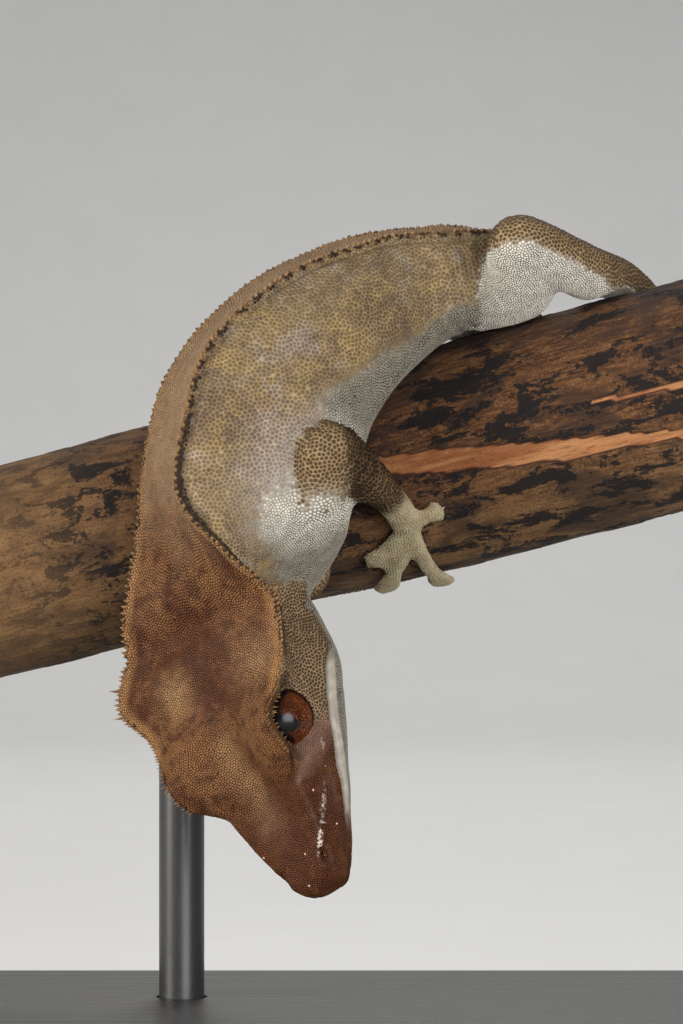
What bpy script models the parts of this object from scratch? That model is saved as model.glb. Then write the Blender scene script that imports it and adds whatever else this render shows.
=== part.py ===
"""Life-size display model of a crested gecko, draped over a short cut branch on a plain stand.

The animal hangs head down over the front of the branch. It is modelled whole, from lofted
sections and tubes fused by a voxel remesh, then parted into its named pieces by thin disc cuts.
Shapes are worked out in millimetres, with +Z up, +X along the branch and -Y to the front;
finish_object() scales each one to metres. The origin is the middle of the base's underside.
"""

from math import cos, pi, radians, sin, sqrt

import bmesh
import bpy
import numpy as np
from mathutils import Matrix, Vector

MM = 0.001

# Stand: a flat base with one rod up into the branch.
BASE_LENGTH, BASE_DEPTH, BASE_HEIGHT = 92.0, 70.0, 6.0
BASE_CORNER = 9.0
BASE_BEVEL = 1.0
ROD_RADIUS = 2.2
ROD_X = -15.5
ROD_IN_BASE = 4.0
ROD_IN_BRANCH = 6.0

# Branch: a straight cut length, rising to the right and coming towards the front there.
BRANCH_RADIUS = 10.3
BRANCH_TAPER = 0.006  # growth of the radius for each millimetre along +X
BRANCH_ENDS = (-39.0, 39.0)
BRANCH_MIDDLE = np.array((0.0, 7.0, 55.7))
BRANCH_RUN = np.array((51.5, -17.0, 13.1))
BRANCH_SIDES = 24
BRANCH_RINGS = 8
BARK_WAVE = 0.22

GAP = 0.3  # left between pieces that touch
SKIN_CLEARANCE = 0.4  # from the animal to the branch
VOXEL = 0.42
LIMB_VOXEL = 0.25
BODY_TRIANGLES = 2300
LIMB_TRIANGLES = 700
TAIL_TRIANGLES = 420

# Head: its own frame, at the snout tip. Distances run back along -FORWARD.
SNOUT_TIP = np.array((-0.6, -16.0, 18.1))
HEAD_FORWARD = np.array((0.365, -0.333, -0.870))
HEAD_LEFT = np.array((0.702, -0.515, 0.492))
EYE_BACK, EYE_SIDE, EYE_RISE = 15.8, 4.9, 4.0
EYE_RADIUS = 2.9
EYE_SOCKET_GAP = 0.3

# One row for each section of the head, from the snout tip back. After the distance come the
# height of the crown, then pairs of half-width and height for the swell over the eye, the top
# edge (canthus, brow and crest), the side, the cheek, the jaw and the keel, and last the
# height of the chin.
HEAD_SECTIONS = (
    # back  crown  swell       top          side         cheek        jaw          keel         chin
    (0.7, 0.9, (0.15, 0.9), (0.3, 0.85), (0.45, 0.7), (0.5, 0.4), (0.45, 0.1), (0.3, -0.05), -0.1),
    (1.0, 1.8, (0.7, 1.75), (1.2, 1.6), (1.5, 1.1), (1.6, 0.3), (1.4, -0.5), (0.8, -1.0), -1.1),
    (1.8, 2.5, (1.1, 2.5), (1.9, 2.4), (2.3, 1.6), (2.5, 0.3), (2.1, -0.8), (1.3, -1.6), -1.8),
    (3.2, 2.9, (1.4, 2.9), (2.4, 2.8), (2.9, 1.8), (3.4, 0.3), (3.0, -1.0), (1.8, -2.2), -2.5),
    (6.5, 3.6, (2.0, 3.7), (3.6, 3.5), (4.2, 2.1), (4.8, 0.2), (4.3, -1.3), (2.6, -3.1), -3.6),
    (9.4, 3.8, (2.3, 4.1), (4.0, 4.7), (4.9, 2.8), (6.1, 0.1), (5.5, -1.5), (3.3, -3.8), -4.4),
    (10.5, 4.0, (2.6, 4.5), (4.2, 5.0), (5.3, 3.2), (6.4, 0.0), (5.8, -1.6), (3.5, -4.1), -4.6),
    (11.7, 4.4, (3.5, 6.2), (6.0, 6.7), (6.2, 4.0), (6.9, -0.1), (6.3, -1.7), (3.8, -4.3), -4.9),
    (14.4, 5.3, (4.0, 7.9), (7.0, 8.4), (7.2, 4.6), (7.7, -0.3), (7.2, -2.1), (4.5, -4.8), -5.4),
    (17.4, 5.8, (4.2, 7.4), (7.5, 6.8), (7.7, 3.6), (8.6, -0.6), (8.0, -2.5), (5.1, -5.3), -5.9),
    (20.4, 5.9, (4.4, 6.1), (8.6, 5.5), (8.3, 3.2), (9.2, -0.6), (8.7, -2.8), (5.7, -5.8), -6.4),
    (25.2, 6.2, (5.6, 6.1), (10.4, 5.6), (8.5, 3.0), (8.9, -0.6), (8.1, -3.2), (5.8, -6.0), -6.6),
)

# One row for each section behind the head: centre, lean of the back from +Z towards -X, roll
# of the back towards the front, half-width, height above and depth below the centre, and the
# half-width between the two crests.
BODY_SECTIONS = (
    # centre               lean  roll  half  above below crest
    ((-9.6, -8.0, 42.6), 85.0, 48.0, 7.5, 5.8, 6.0, 9.5),
    ((-10.1, -9.0, 45.8), 86.0, 45.0, 7.7, 5.9, 10.1, 8.6),
    ((-9.8, -9.8, 49.6), 87.0, 34.0, 8.0, 6.0, 10.3, 7.6),
    ((-8.9, -10.5, 53.6), 86.0, 18.5, 8.0, 8.1, 9.8, 6.0),
    ((-7.6, -10.0, 58.0), 76.0, 16.5, 8.5, 9.0, 9.5, 6.0),
    ((-6.4, -8.9, 62.6), 61.0, 13.0, 8.6, 8.9, 9.2, 5.8),
    ((-4.3, -7.2, 66.2), 42.0, 11.0, 8.6, 8.1, 8.6, 5.5),
    ((-1.7, -5.2, 68.7), 29.0, 9.0, 8.3, 7.6, 7.8, 5.2),
    ((1.3, -2.8, 70.8), 20.0, 8.5, 7.8, 7.0, 6.8, 4.9),
    ((4.8, -0.5, 72.8), 12.0, 8.0, 7.0, 6.3, 6.1, 4.5),
    ((8.4, 0.5, 74.1), 3.0, 7.0, 6.1, 5.4, 5.2, 4.0),
    ((13.6, 1.5, 74.9), -4.0, 5.0, 5.4, 4.4, 4.4, 3.4),
    ((17.0, 3.0, 74.0), -18.0, -4.0, 4.0, 3.2, 3.4, 2.4),
)
NECK_TURN = (0.84, 0.64, 0.38, 0.14)  # how far the first sections have turned to face as the head does

# Tail: laid along the back of the branch. Each row is a place along X, an angle round the
# branch from its top towards the back, and the tail's half-width and half-thickness there.
TAIL_ROOT = (13.6, 3.2, 74.0)
TAIL_COURSE = (
    # x     round  half-width, half-thickness
    (16.4, 32.0, 3.0, 2.9),
    (17.8, 58.0, 2.7, 2.7),
    (17.6, 84.0, 2.5, 2.5),
    (15.0, 107.0, 2.3, 2.3),
    (9.0, 123.0, 2.1, 2.1),
    (1.0, 130.0, 1.9, 1.9),
    (-8.0, 130.0, 1.6, 1.6),
    (-16.0, 126.0, 1.3, 1.25),
    (-22.5, 121.0, 1.2, 0.9),
    (-26.0, 118.5, 1.5, 0.75),
    (-28.3, 117.0, 1.1, 0.6),
)
TAIL_CUT = 5  # the row where the tail is parted in two

# Legs: joints as points, with the half-thickness at each. The wrist and ankle lie just above
# the branch; each foot is a palm and five toes laid on it.
LEGS = {
    "arm_left": dict(
        joints=(
            (-6.5, -12.0, 52.5),
            (-2.2, -15.4, 55.0),
            (-1.6, -17.2, 58.4),
            (1.6, -12.8, 56.4),
            (4.6, -7.6, 54.0),
        ),
        half=(3.0, 2.7, 2.7, 2.3, 1.5),
        palm=(7.9, -122.5),
        toes=(
            (11.0, -119.0, 0.7),
            (7.4, -178.0, 1.2),
            (5.0, -146.0, 0.7),
            (2.4, -167.5, 0.9),
            (3.1, -141.0, 0.7),
        ),
        seeds=("upper_arm_left", "forearm_left", "hand_left"),
    ),
    "arm_right": dict(
        joints=(
            (-6.5, -7.0, 53.8),
            (-4.2, -4.4, 50.6),
            (-3.2, -2.8, 47.4),
            (-6.2, -0.4, 45.0),
            (-8.4, 2.4, 43.6),
        ),
        half=(2.8, 2.5, 2.2, 1.9, 1.4),
        palm=(-9.6, -158.0),
        toes=(
            (-5.6, -165.0, 0.7),
            (-7.2, -183.0, 0.7),
            (-10.0, -194.0, 0.7),
            (-13.0, -187.0, 0.7),
            (-13.4, -165.0, 0.7),
        ),
        seeds=("upper_arm_right", "forearm_right", "hand_right"),
    ),
    "leg_left": dict(
        joints=(
            (14.6, 0.5, 73.0),
            (16.8, -5.4, 75.2),
            (16.0, -10.5, 77.6),
            (22.4, -5.0, 75.3),
            (28.8, 5.0, 73.5),
        ),
        half=(4.2, 3.5, 2.6, 2.6, 1.6),
        palm=(30.4, 52.0),
        toes=(
            (26.0, 70.0, 0.7),
            (28.0, 92.0, 0.7),
            (31.6, 100.0, 0.7),
            (35.6, 88.0, 0.7),
            (36.2, 58.0, 0.7),
        ),
        seeds=("thigh_left", "shin_left", "foot_left"),
    ),
    "leg_right": dict(
        joints=(
            (13.5, 2.6, 73.0),
            (6.5, 9.4, 73.2),
            (-1.5, 15.0, 71.0),
            (1.2, 16.2, 67.0),
            (4.0, 15.4, 63.6),
        ),
        half=(4.1, 3.6, 2.7, 2.4, 1.5),
        palm=(5.0, 64.0),
        toes=(
            (0.0, 62.0, 0.7),
            (0.4, 84.0, 0.7),
            (3.6, 98.0, 0.7),
            (8.4, 95.0, 0.7),
            (10.4, 70.0, 0.7),
        ),
        seeds=("thigh_right", "shin_right", "foot_right"),
    ),
}
PALM_HALF = (1.6, 0.95)
PALM_HEIGHT = 1.1
TOE_HALF = ((0.9, 0.75), (0.85, 0.62), (0.95, 0.56), (1.3, 0.54), (1.15, 0.46), (0.55, 0.3))
TOE_ALONG = (0.0, 0.42, 0.68, 0.86, 0.99, 1.07)

# Where thin discs part the neck from the head and the trunk, and the tail in two.
NECK_CUT_BACK = 25.6
NECK_CUT_RADIUS = 17.0
TRUNK_CUT_ROW = 1
TRUNK_CUT_RADIUS = 11.0
TAIL_CUT_RADIUS = 3.6
JOINT_CUT_RADIUS = 9.0  # elbows and knees, where the two halves of a bent leg lie together
# Material name: colour, roughness.
MATERIALS = {
    "head_skin": ((0.13, 0.055, 0.028), 0.55),
    "body_skin": ((0.33, 0.235, 0.125), 0.6),
    "foot_skin": ((0.27, 0.215, 0.125), 0.55),
    "eye": ((0.07, 0.018, 0.007), 0.08),
    "bark": ((0.17, 0.08, 0.035), 0.85),
    "base_wood": ((0.018, 0.016, 0.015), 0.4),
    "rod_paint": ((0.02, 0.02, 0.02), 0.35),
}
HEAD_NODES = ("head", "neck")


# ---------------------------------------------------------------- curves and frames


def unit(vector):
    vector = np.asarray(vector, float)
    return vector / np.linalg.norm(vector, axis=-1, keepdims=True)


def smooth(knots, values, at):
    """A cubic through the values at the knots, read at the places asked for."""
    knots, values = np.asarray(knots, float), np.asarray(values, float)
    slope = np.gradient(values, knots, axis=0)
    i = np.clip(np.searchsorted(knots, at) - 1, 0, len(knots) - 2)
    step = (knots[i + 1] - knots[i])[:, None]
    t = (np.asarray(at, float) - knots[i])[:, None] / step
    flat = values.reshape(len(knots), -1)
    rise = slope.reshape(len(knots), -1) * 1.0
    read = (
        (1 + 2 * t) * (1 - t) ** 2 * flat[i]
        + t * (1 - t) ** 2 * step * rise[i]
        + t * t * (3 - 2 * t) * flat[i + 1]
        + t * t * (t - 1) * step * rise[i + 1]
    )
    return read.reshape((len(read),) + values.shape[1:])


def lengths_along(points):
    """Distance along a line of points, from its first one."""
    steps = np.linalg.norm(np.diff(points, axis=0), axis=1)
    return np.concatenate([[0.0], np.cumsum(steps)])


def closed_ring(corners, count):
    """A smooth closed ring of count points through the corners (sections, corners, 2)."""
    wrapped = np.concatenate([corners[:, -2:], corners, corners[:, :3]], axis=1)
    knots = np.arange(wrapped.shape[1]) - 2.0
    at = np.arange(count) * corners.shape[1] / count
    return smooth(knots, wrapped.transpose(1, 0, 2), at).transpose(1, 0, 2)


HEAD_FORWARD = unit(HEAD_FORWARD)
HEAD_LEFT = unit(HEAD_LEFT - HEAD_FORWARD * (HEAD_LEFT @ HEAD_FORWARD))
HEAD_UP = np.cross(HEAD_FORWARD, HEAD_LEFT)


def head_point(back, left, up):
    """A place in the head's own frame, as a point of the model."""
    return SNOUT_TIP - back * HEAD_FORWARD + left * HEAD_LEFT + up * HEAD_UP


# ---------------------------------------------------------------- branch

BRANCH_AXIS = unit(BRANCH_RUN)
BRANCH_UP = unit(np.array((0.0, 0.0, 1.0)) - BRANCH_AXIS * BRANCH_AXIS[2])
BRANCH_BACK = np.cross(BRANCH_UP, BRANCH_AXIS)


def branch_centre(x):
    return BRANCH_MIDDLE + BRANCH_AXIS * ((x - BRANCH_MIDDLE[0]) / BRANCH_AXIS[0])


def branch_radius(x):
    return BRANCH_RADIUS + BRANCH_TAPER * x


def on_branch(x, degrees, height):
    """A point height above the bark: degrees run from the top of the branch to its back."""
    round_way = cos(radians(degrees)) * BRANCH_UP + sin(radians(degrees)) * BRANCH_BACK
    return branch_centre(x) + (branch_radius(x) + height) * round_way


# ---------------------------------------------------------------- meshes


def mesh_object(name, points, faces):
    mesh = bpy.data.meshes.new(name)
    mesh.from_pydata([tuple(p) for p in points], [], [tuple(f) for f in faces])
    made = bpy.data.objects.new(name, mesh)
    bpy.context.scene.collection.objects.link(made)
    return made


def loft(name, rings):
    """A closed skin over rings of points (sections, points, 3), capped at both ends."""
    count, around = rings.shape[:2]
    faces = []
    for i in range(count - 1):
        for j in range(around):
            k = (j + 1) % around
            a, b = i * around, (i + 1) * around
            faces.append((a + j, a + k, b + k, b + j))
    faces.append(tuple(range(around))[::-1])
    faces.append(tuple(range((count - 1) * around, count * around)))
    made = mesh_object(name, rings.reshape(-1, 3), faces)
    recalculate_normals(made.data)
    return made


def recalculate_normals(mesh):
    work = bmesh.new()
    work.from_mesh(mesh)
    bmesh.ops.recalc_face_normals(work, faces=work.faces)
    work.to_mesh(mesh)
    work.free()


def tube(name, path, widths, heights, up, samples=24, around=20):
    """A tube through the path's points with round ends: widths lie across up, heights along."""
    path = np.asarray(path, float)
    along = lengths_along(path)
    at = along[-1] * (1 - np.cos(np.linspace(0, pi, samples))) / 2
    centres = smooth(along, path, at)
    sizes = np.maximum(smooth(along, np.array([widths, heights]).T, at), 0.05)
    ways = smooth(along, np.broadcast_to(up, path.shape), at)
    tangents = unit(np.gradient(centres, axis=0))
    first = centres[:1] - tangents[:1] * sizes[:1].mean() * 0.7
    last = centres[-1:] + tangents[-1:] * sizes[-1:].mean() * 0.7
    centres = np.concatenate([first, centres, last])
    sizes = np.concatenate([sizes[:1] * 0.55, sizes, sizes[-1:] * 0.55])
    tangents = np.concatenate([tangents[:1], tangents, tangents[-1:]])
    ways = np.concatenate([ways[:1], ways, ways[-1:]])
    sides = unit(np.cross(tangents, ways))
    tops = np.cross(sides, tangents)
    turn = np.linspace(0, 2 * pi, around, endpoint=False)
    rings = (
        centres[:, None]
        + sides[:, None] * (sizes[:, :1] * np.cos(turn))[..., None]
        + tops[:, None] * (sizes[:, 1:] * np.sin(turn))[..., None]
    )
    return loft(name, rings)


def evaluated(source):
    """The object's mesh with its modifiers applied, as a new object; the source is removed."""
    graph = bpy.context.evaluated_depsgraph_get()
    mesh = bpy.data.meshes.new_from_object(source.evaluated_get(graph))
    made = bpy.data.objects.new(source.name + "_applied", mesh)
    bpy.context.scene.collection.objects.link(made)
    bpy.data.objects.remove(source)
    return made


def joined(name, pieces):
    """One object of the pieces' meshes laid over each other."""
    work = bmesh.new()
    for piece in pieces:
        work.from_mesh(piece.data)
        bpy.data.objects.remove(piece)
    mesh = bpy.data.meshes.new(name)
    work.to_mesh(mesh)
    work.free()
    made = bpy.data.objects.new(name, mesh)
    bpy.context.scene.collection.objects.link(made)
    return made


def cut_with(target, cutter):
    """Takes the cutter's volume out of the target, and removes the cutter."""
    bite = target.modifiers.new("cut", "BOOLEAN")
    bite.operation = "DIFFERENCE"
    bite.solver = "EXACT"
    bite.use_self = True
    bite.object = cutter
    made = evaluated(target)
    bpy.data.objects.remove(cutter)
    return made


def cylinder(name, low, high, radius, sides):
    """A cylinder between two points."""
    low, high = Vector(low), Vector(high)
    work = bmesh.new()
    bmesh.ops.create_cone(
        work,
        cap_ends=True,
        segments=sides,
        radius1=radius,
        radius2=radius,
        depth=(high - low).length,
    )
    turn = (high - low).to_track_quat("Z", "Y").to_matrix().to_4x4()
    bmesh.ops.transform(work, matrix=Matrix.Translation((low + high) / 2) @ turn, verts=work.verts)
    mesh = bpy.data.meshes.new(name)
    work.to_mesh(mesh)
    work.free()
    made = bpy.data.objects.new(name, mesh)
    bpy.context.scene.collection.objects.link(made)
    return made


def sphere(name, centre, radius, rings, segments):
    work = bmesh.new()
    bmesh.ops.create_uvsphere(work, u_segments=segments, v_segments=rings, radius=radius)
    bmesh.ops.translate(work, verts=work.verts, vec=Vector(centre))
    mesh = bpy.data.meshes.new(name)
    work.to_mesh(mesh)
    work.free()
    made = bpy.data.objects.new(name, mesh)
    bpy.context.scene.collection.objects.link(made)
    return made


def material(name):
    made = bpy.data.materials.get(name)
    if made is None:
        colour, roughness = MATERIALS[name]
        made = bpy.data.materials.new(name)
        made.use_nodes = True
        shader = made.node_tree.nodes["Principled BSDF"]
        shader.inputs["Base Color"].default_value = (*colour, 1.0)
        shader.inputs["Roughness"].default_value = roughness
        shader.inputs["Metallic"].default_value = 0.0
    return made


def skin_of(name):
    if name in HEAD_NODES:
        return material("head_skin")
    return material("foot_skin" if name.startswith(("hand", "foot")) else "body_skin")


def finish_object(made, name, coat):
    """Names the piece, gives it its material and scales it from millimetres to metres."""
    made.name = name
    made.data.name = name
    made.data.transform(Matrix.Scale(MM, 4))
    made.data.materials.clear()
    made.data.materials.append(coat)
    made.data.shade_smooth()
    made.data.set_sharp_from_angle(angle=radians(40))


# ---------------------------------------------------------------- the animal's shape


def head_half_section(row):
    """Eight corners of a head section's left half, from the crown down to the chin."""
    _, crown, swell, top, side, cheek, jaw, keel, chin = row
    return ((0.0, crown), swell, top, side, cheek, jaw, keel, (0.0, chin))


def body_half_section(half, above, below, crest):
    """The same eight corners for the neck and trunk, from four sizes."""
    crown = above - 0.4
    return (
        (0.0, crown),
        (0.55 * crest, crown + 0.1),
        (crest, above),
        (0.82 * half + 0.12 * crest, 0.56 * above),
        (half, 0.0),
        (0.93 * half, -0.46 * below),
        (0.6 * half, -0.86 * below),
        (0.0, -below),
    )


def body_stations():
    """Centres, forward and up directions and half-sections, from the snout to the pelvis."""
    centres = [head_point(row[0], 0.0, 0.0) for row in HEAD_SECTIONS]
    ups = [HEAD_UP] * len(HEAD_SECTIONS)
    halves = [head_half_section(row) for row in HEAD_SECTIONS]
    for centre, lean, roll, half, above, below, crest in BODY_SECTIONS:
        centres.append(np.array(centre))
        lean, roll = radians(lean), radians(roll)
        ups.append(np.array((-sin(lean) * cos(roll), -sin(roll), cos(lean) * cos(roll))))
        halves.append(body_half_section(half, above, below, crest))
    centres, halves = np.array(centres), np.array(halves)
    along = lengths_along(centres)
    forwards = -unit(np.gradient(centres, along, axis=0))
    first = len(HEAD_SECTIONS)
    forwards[:first] = HEAD_FORWARD
    for i, turn in enumerate(NECK_TURN):
        forwards[first + i] = unit((1 - turn) * forwards[first + i] + turn * HEAD_FORWARD)
    return along, centres, forwards, np.array(ups), halves


def body_loft(samples, around):
    """Head, neck and trunk as one lofted skin."""
    along, centres, forwards, ups, halves = body_stations()
    tip = along[1]
    at = np.concatenate([np.linspace(0, tip, 4)[:-1], np.linspace(tip, along[-1], samples)])
    forward = unit(smooth(along, forwards, at))
    up = smooth(along, ups, at)
    up = unit(up - forward * (up * forward).sum(axis=1, keepdims=True))
    left = np.cross(up, forward)
    mirrored = halves[:, -2:0:-1] * (-1.0, 1.0)
    corners = smooth(along, np.concatenate([halves, mirrored], axis=1), at)
    rings = closed_ring(corners, around)
    across = left[:, None] * rings[..., :1] + up[:, None] * rings[..., 1:]
    return loft("body", smooth(along, centres, at)[:, None] + across)


def tail_path():
    """The tail's centre line from inside the pelvis to its tip, with its sizes."""
    path, widths, heights = [TAIL_ROOT], [3.4], [3.2]
    for x, degrees, width, height in TAIL_COURSE:
        path.append(on_branch(x, degrees, height + SKIN_CLEARANCE))
        widths.append(width)
        heights.append(height)
    return np.array(path), widths, heights


def tail_ups(path):
    """Which way the tail's flat side faces: straight out from the branch."""
    out = path - np.array([branch_centre(p[0]) for p in path])
    return unit(out)


def toe(name, palm, tip):
    """One toe, from under the palm to its tip, bowed to follow the bark; sizes widen at the pad."""
    start, end = np.array((*palm, PALM_HEIGHT)), np.array(tip)
    places = [start + (end - start) * t for t in TOE_ALONG]
    path = np.array([on_branch(*place) for place in places])
    sizes = np.array(TOE_HALF)
    out = unit(path - np.array([branch_centre(place[0]) for place in places]))
    return tube(name, path, sizes[:, 0], sizes[:, 1], out, samples=14, around=12)


def palm_point(spec):
    return on_branch(*spec["palm"], PALM_HEIGHT)


def limb(name, spec):
    """A leg's tube, its palm and its five toes, fused in one skin."""
    path = np.array((*spec["joints"], palm_point(spec)))
    widths = (*spec["half"], PALM_HALF[0])
    heights = (*spec["half"], PALM_HALF[1])
    out = unit(palm_point(spec) - branch_centre(spec["palm"][0]))
    pieces = [tube(name, path, widths, heights, out, samples=30, around=24)]
    for i, tip in enumerate(spec["toes"]):
        pieces.append(toe(f"{name}_toe_{i}", spec["palm"], tip))
    return fused(joined(name, pieces), LIMB_VOXEL, LIMB_TRIANGLES)


def clear_of_branch(mesh):
    """Moves points that lie in the branch out to just above its bark."""
    points = np.empty(len(mesh.vertices) * 3)
    mesh.vertices.foreach_get("co", points)
    points = points.reshape(-1, 3)
    along = (points - BRANCH_MIDDLE) @ BRANCH_AXIS
    foot = BRANCH_MIDDLE + along[:, None] * BRANCH_AXIS
    out = points - foot
    reach = np.linalg.norm(out, axis=1)
    least = BRANCH_RADIUS + BRANCH_TAPER * foot[:, 0] + BARK_WAVE + SKIN_CLEARANCE
    sunk = reach < least
    points[sunk] = foot[sunk] + out[sunk] * (least[sunk] / reach[sunk])[:, None]
    mesh.vertices.foreach_set("co", points.ravel())
    mesh.update()


def fused(whole, voxel, triangles):
    """The overlapping lofts as one closed skin, clear of the branch and thinned."""
    fuse = whole.modifiers.new("fuse", "REMESH")
    fuse.mode = "VOXEL"
    fuse.voxel_size = voxel
    soften = whole.modifiers.new("soften", "SMOOTH")
    soften.factor = 0.5
    soften.iterations = 3
    whole = evaluated(whole)
    clear_of_branch(whole.data)
    thin = whole.modifiers.new("thin", "DECIMATE")
    faces = sum(len(p.vertices) - 2 for p in whole.data.polygons)
    thin.ratio = triangles / faces
    return evaluated(whole)


def torso():
    """Head, neck and trunk in one skin."""
    return fused(body_loft(samples=90, around=64), VOXEL, BODY_TRIANGLES)


def tail():
    path, widths, heights = tail_path()
    whole = tube("tail", path, widths, heights, tail_ups(path), samples=60, around=20)
    return fused(whole, LIMB_VOXEL, TAIL_TRIANGLES)


# ---------------------------------------------------------------- parting


def swollen(source, by):
    """A copy of the mesh with every point moved out along its normal."""
    mesh = source.data.copy()
    for vertex, normal in zip(mesh.vertices, [n.vector.copy() for n in mesh.vertex_normals]):
        vertex.co += normal * by
    made = bpy.data.objects.new("swollen", mesh)
    bpy.context.scene.collection.objects.link(made)
    return made


def thick_leg(spec, by):
    """A leg's plain tube, thicker all round."""
    sizes = [half + by for half in spec["half"]]
    return tube("thick_leg", spec["joints"], sizes, sizes, (0.0, -1.0, 0.2), samples=16, around=16)


def kept_off(piece, cutters):
    """The largest part of the piece that lies outside the cutters."""
    for cutter in cutters:
        piece = cut_with(piece, cutter)
    pieces = sorted(loose_pieces(piece), key=lambda p: len(p.data.vertices))
    for scrap in pieces[:-1]:
        bpy.data.objects.remove(scrap)
    return pieces[-1]


def disc(centre, facing, radius):
    """A thin round cutter across the animal."""
    centre, way = np.asarray(centre, float), unit(facing)
    return cylinder("disc", centre - way * GAP / 2, centre + way * GAP / 2, radius, 40)


def parted(whole, discs, seeds):
    """The whole cut through by the discs; each seed names the piece nearest to it."""
    for cutter in discs:
        whole = cut_with(whole, cutter)
    pieces = sorted(loose_pieces(whole), key=lambda p: -len(p.data.vertices))
    for scrap in pieces[len(seeds) :]:
        bpy.data.objects.remove(scrap)
    pieces = pieces[: len(seeds)]
    pairs = []
    for number, piece in enumerate(pieces):
        middle = np.mean([v.co for v in piece.data.vertices], axis=0)
        pairs += [(float(np.linalg.norm(middle - seed)), name, number) for name, seed in seeds.items()]
    named, used = {}, set()
    for _, name, number in sorted(pairs):
        if name not in named and number not in used:
            named[name] = pieces[number]
            used.add(number)
    return named


def torso_parts(whole):
    _, centres, forwards, _, _ = body_stations()
    row = len(HEAD_SECTIONS) + TRUNK_CUT_ROW
    discs = (
        disc(head_point(NECK_CUT_BACK, 0.0, 0.0), HEAD_FORWARD, NECK_CUT_RADIUS),
        disc(centres[row], forwards[row], TRUNK_CUT_RADIUS),
    )
    seeds = {
        "head": head_point(14.0, 0.0, 0.0),
        "neck": np.array(BODY_SECTIONS[0][0]),
        "trunk": np.array(BODY_SECTIONS[5][0]),
    }
    return parted(whole, discs, seeds)


def tail_parts(whole):
    path, _, _ = tail_path()
    cutter = disc(path[TAIL_CUT], path[TAIL_CUT + 1] - path[TAIL_CUT - 1], TAIL_CUT_RADIUS)
    return parted(whole, [cutter], {"tail_base": path[3], "tail_end": path[8]})


def limb_parts(whole, spec):
    joints, half = np.array(spec["joints"]), spec["half"]
    fold = unit(joints[3] - joints[2]) - unit(joints[1] - joints[2])
    discs = (
        disc(joints[2], fold, JOINT_CUT_RADIUS),
        disc(joints[4], palm_point(spec) - joints[3], half[4] + 1.2),
    )
    upper, lower, foot = spec["seeds"]
    seeds = {
        upper: joints[1] * 0.4 + joints[2] * 0.6,
        lower: (joints[2] + joints[4]) / 2,
        foot: palm_point(spec),
    }
    return parted(whole, discs, seeds)


def loose_pieces(source):
    """Each separate body of the mesh as an object of its own."""
    work = bmesh.new()
    work.from_mesh(source.data)
    bpy.data.objects.remove(source)
    left, pieces = set(work.verts), []
    while left:
        grow = [left.pop()]
        island = set(grow)
        while grow:
            for edge in grow.pop().link_edges:
                for vertex in edge.verts:
                    if vertex in left:
                        left.discard(vertex)
                        island.add(vertex)
                        grow.append(vertex)
        order = {vertex: i for i, vertex in enumerate(sorted(island, key=lambda v: v.index))}
        faces = [f for f in work.faces if f.verts[0] in island]
        pieces.append(
            mesh_object("piece", [v.co[:] for v in order], [[order[v] for v in f.verts] for f in faces])
        )
    work.free()
    return pieces


def animal_parts():
    """Every named piece of the animal but the eyes."""
    body = torso()
    limbs = {name: kept_off(limb(name, spec), [swollen(body, GAP)]) for name, spec in LEGS.items()}
    hind = [thick_leg(LEGS[name], GAP) for name in ("leg_left", "leg_right")]
    named = tail_parts(kept_off(tail(), [swollen(body, GAP), *hind]))
    for name, whole in limbs.items():
        named.update(limb_parts(whole, LEGS[name]))
    named.update(torso_parts(body))
    return named


# ---------------------------------------------------------------- branch, stand and eyes


def bark_radius(x, degrees):
    """The cut branch is not quite round: two slow waves run round and along it."""
    wave = sin(radians(2 * degrees) + x * 0.11) + 0.6 * sin(radians(3 * degrees) - x * 0.17)
    return BARK_WAVE * wave / 1.6


def branch():
    rings = []
    for x in np.linspace(*BRANCH_ENDS, BRANCH_RINGS):
        turns = np.linspace(0, 360, BRANCH_SIDES, endpoint=False)
        rings.append([on_branch(x, degrees, bark_radius(x, degrees)) for degrees in turns])
    made = loft("perch_branch", np.array(rings))
    hole = cylinder("hole", (ROD_X, ROD_Y, BASE_HEIGHT), (ROD_X, ROD_Y, ROD_TOP + GAP), ROD_RADIUS + GAP, 20)
    return cut_with(made, hole)


ROD_Y = float(branch_centre(ROD_X)[1])
ROD_TOP = float(on_branch(ROD_X, 180.0, 0.0)[2]) + ROD_IN_BRANCH


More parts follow.
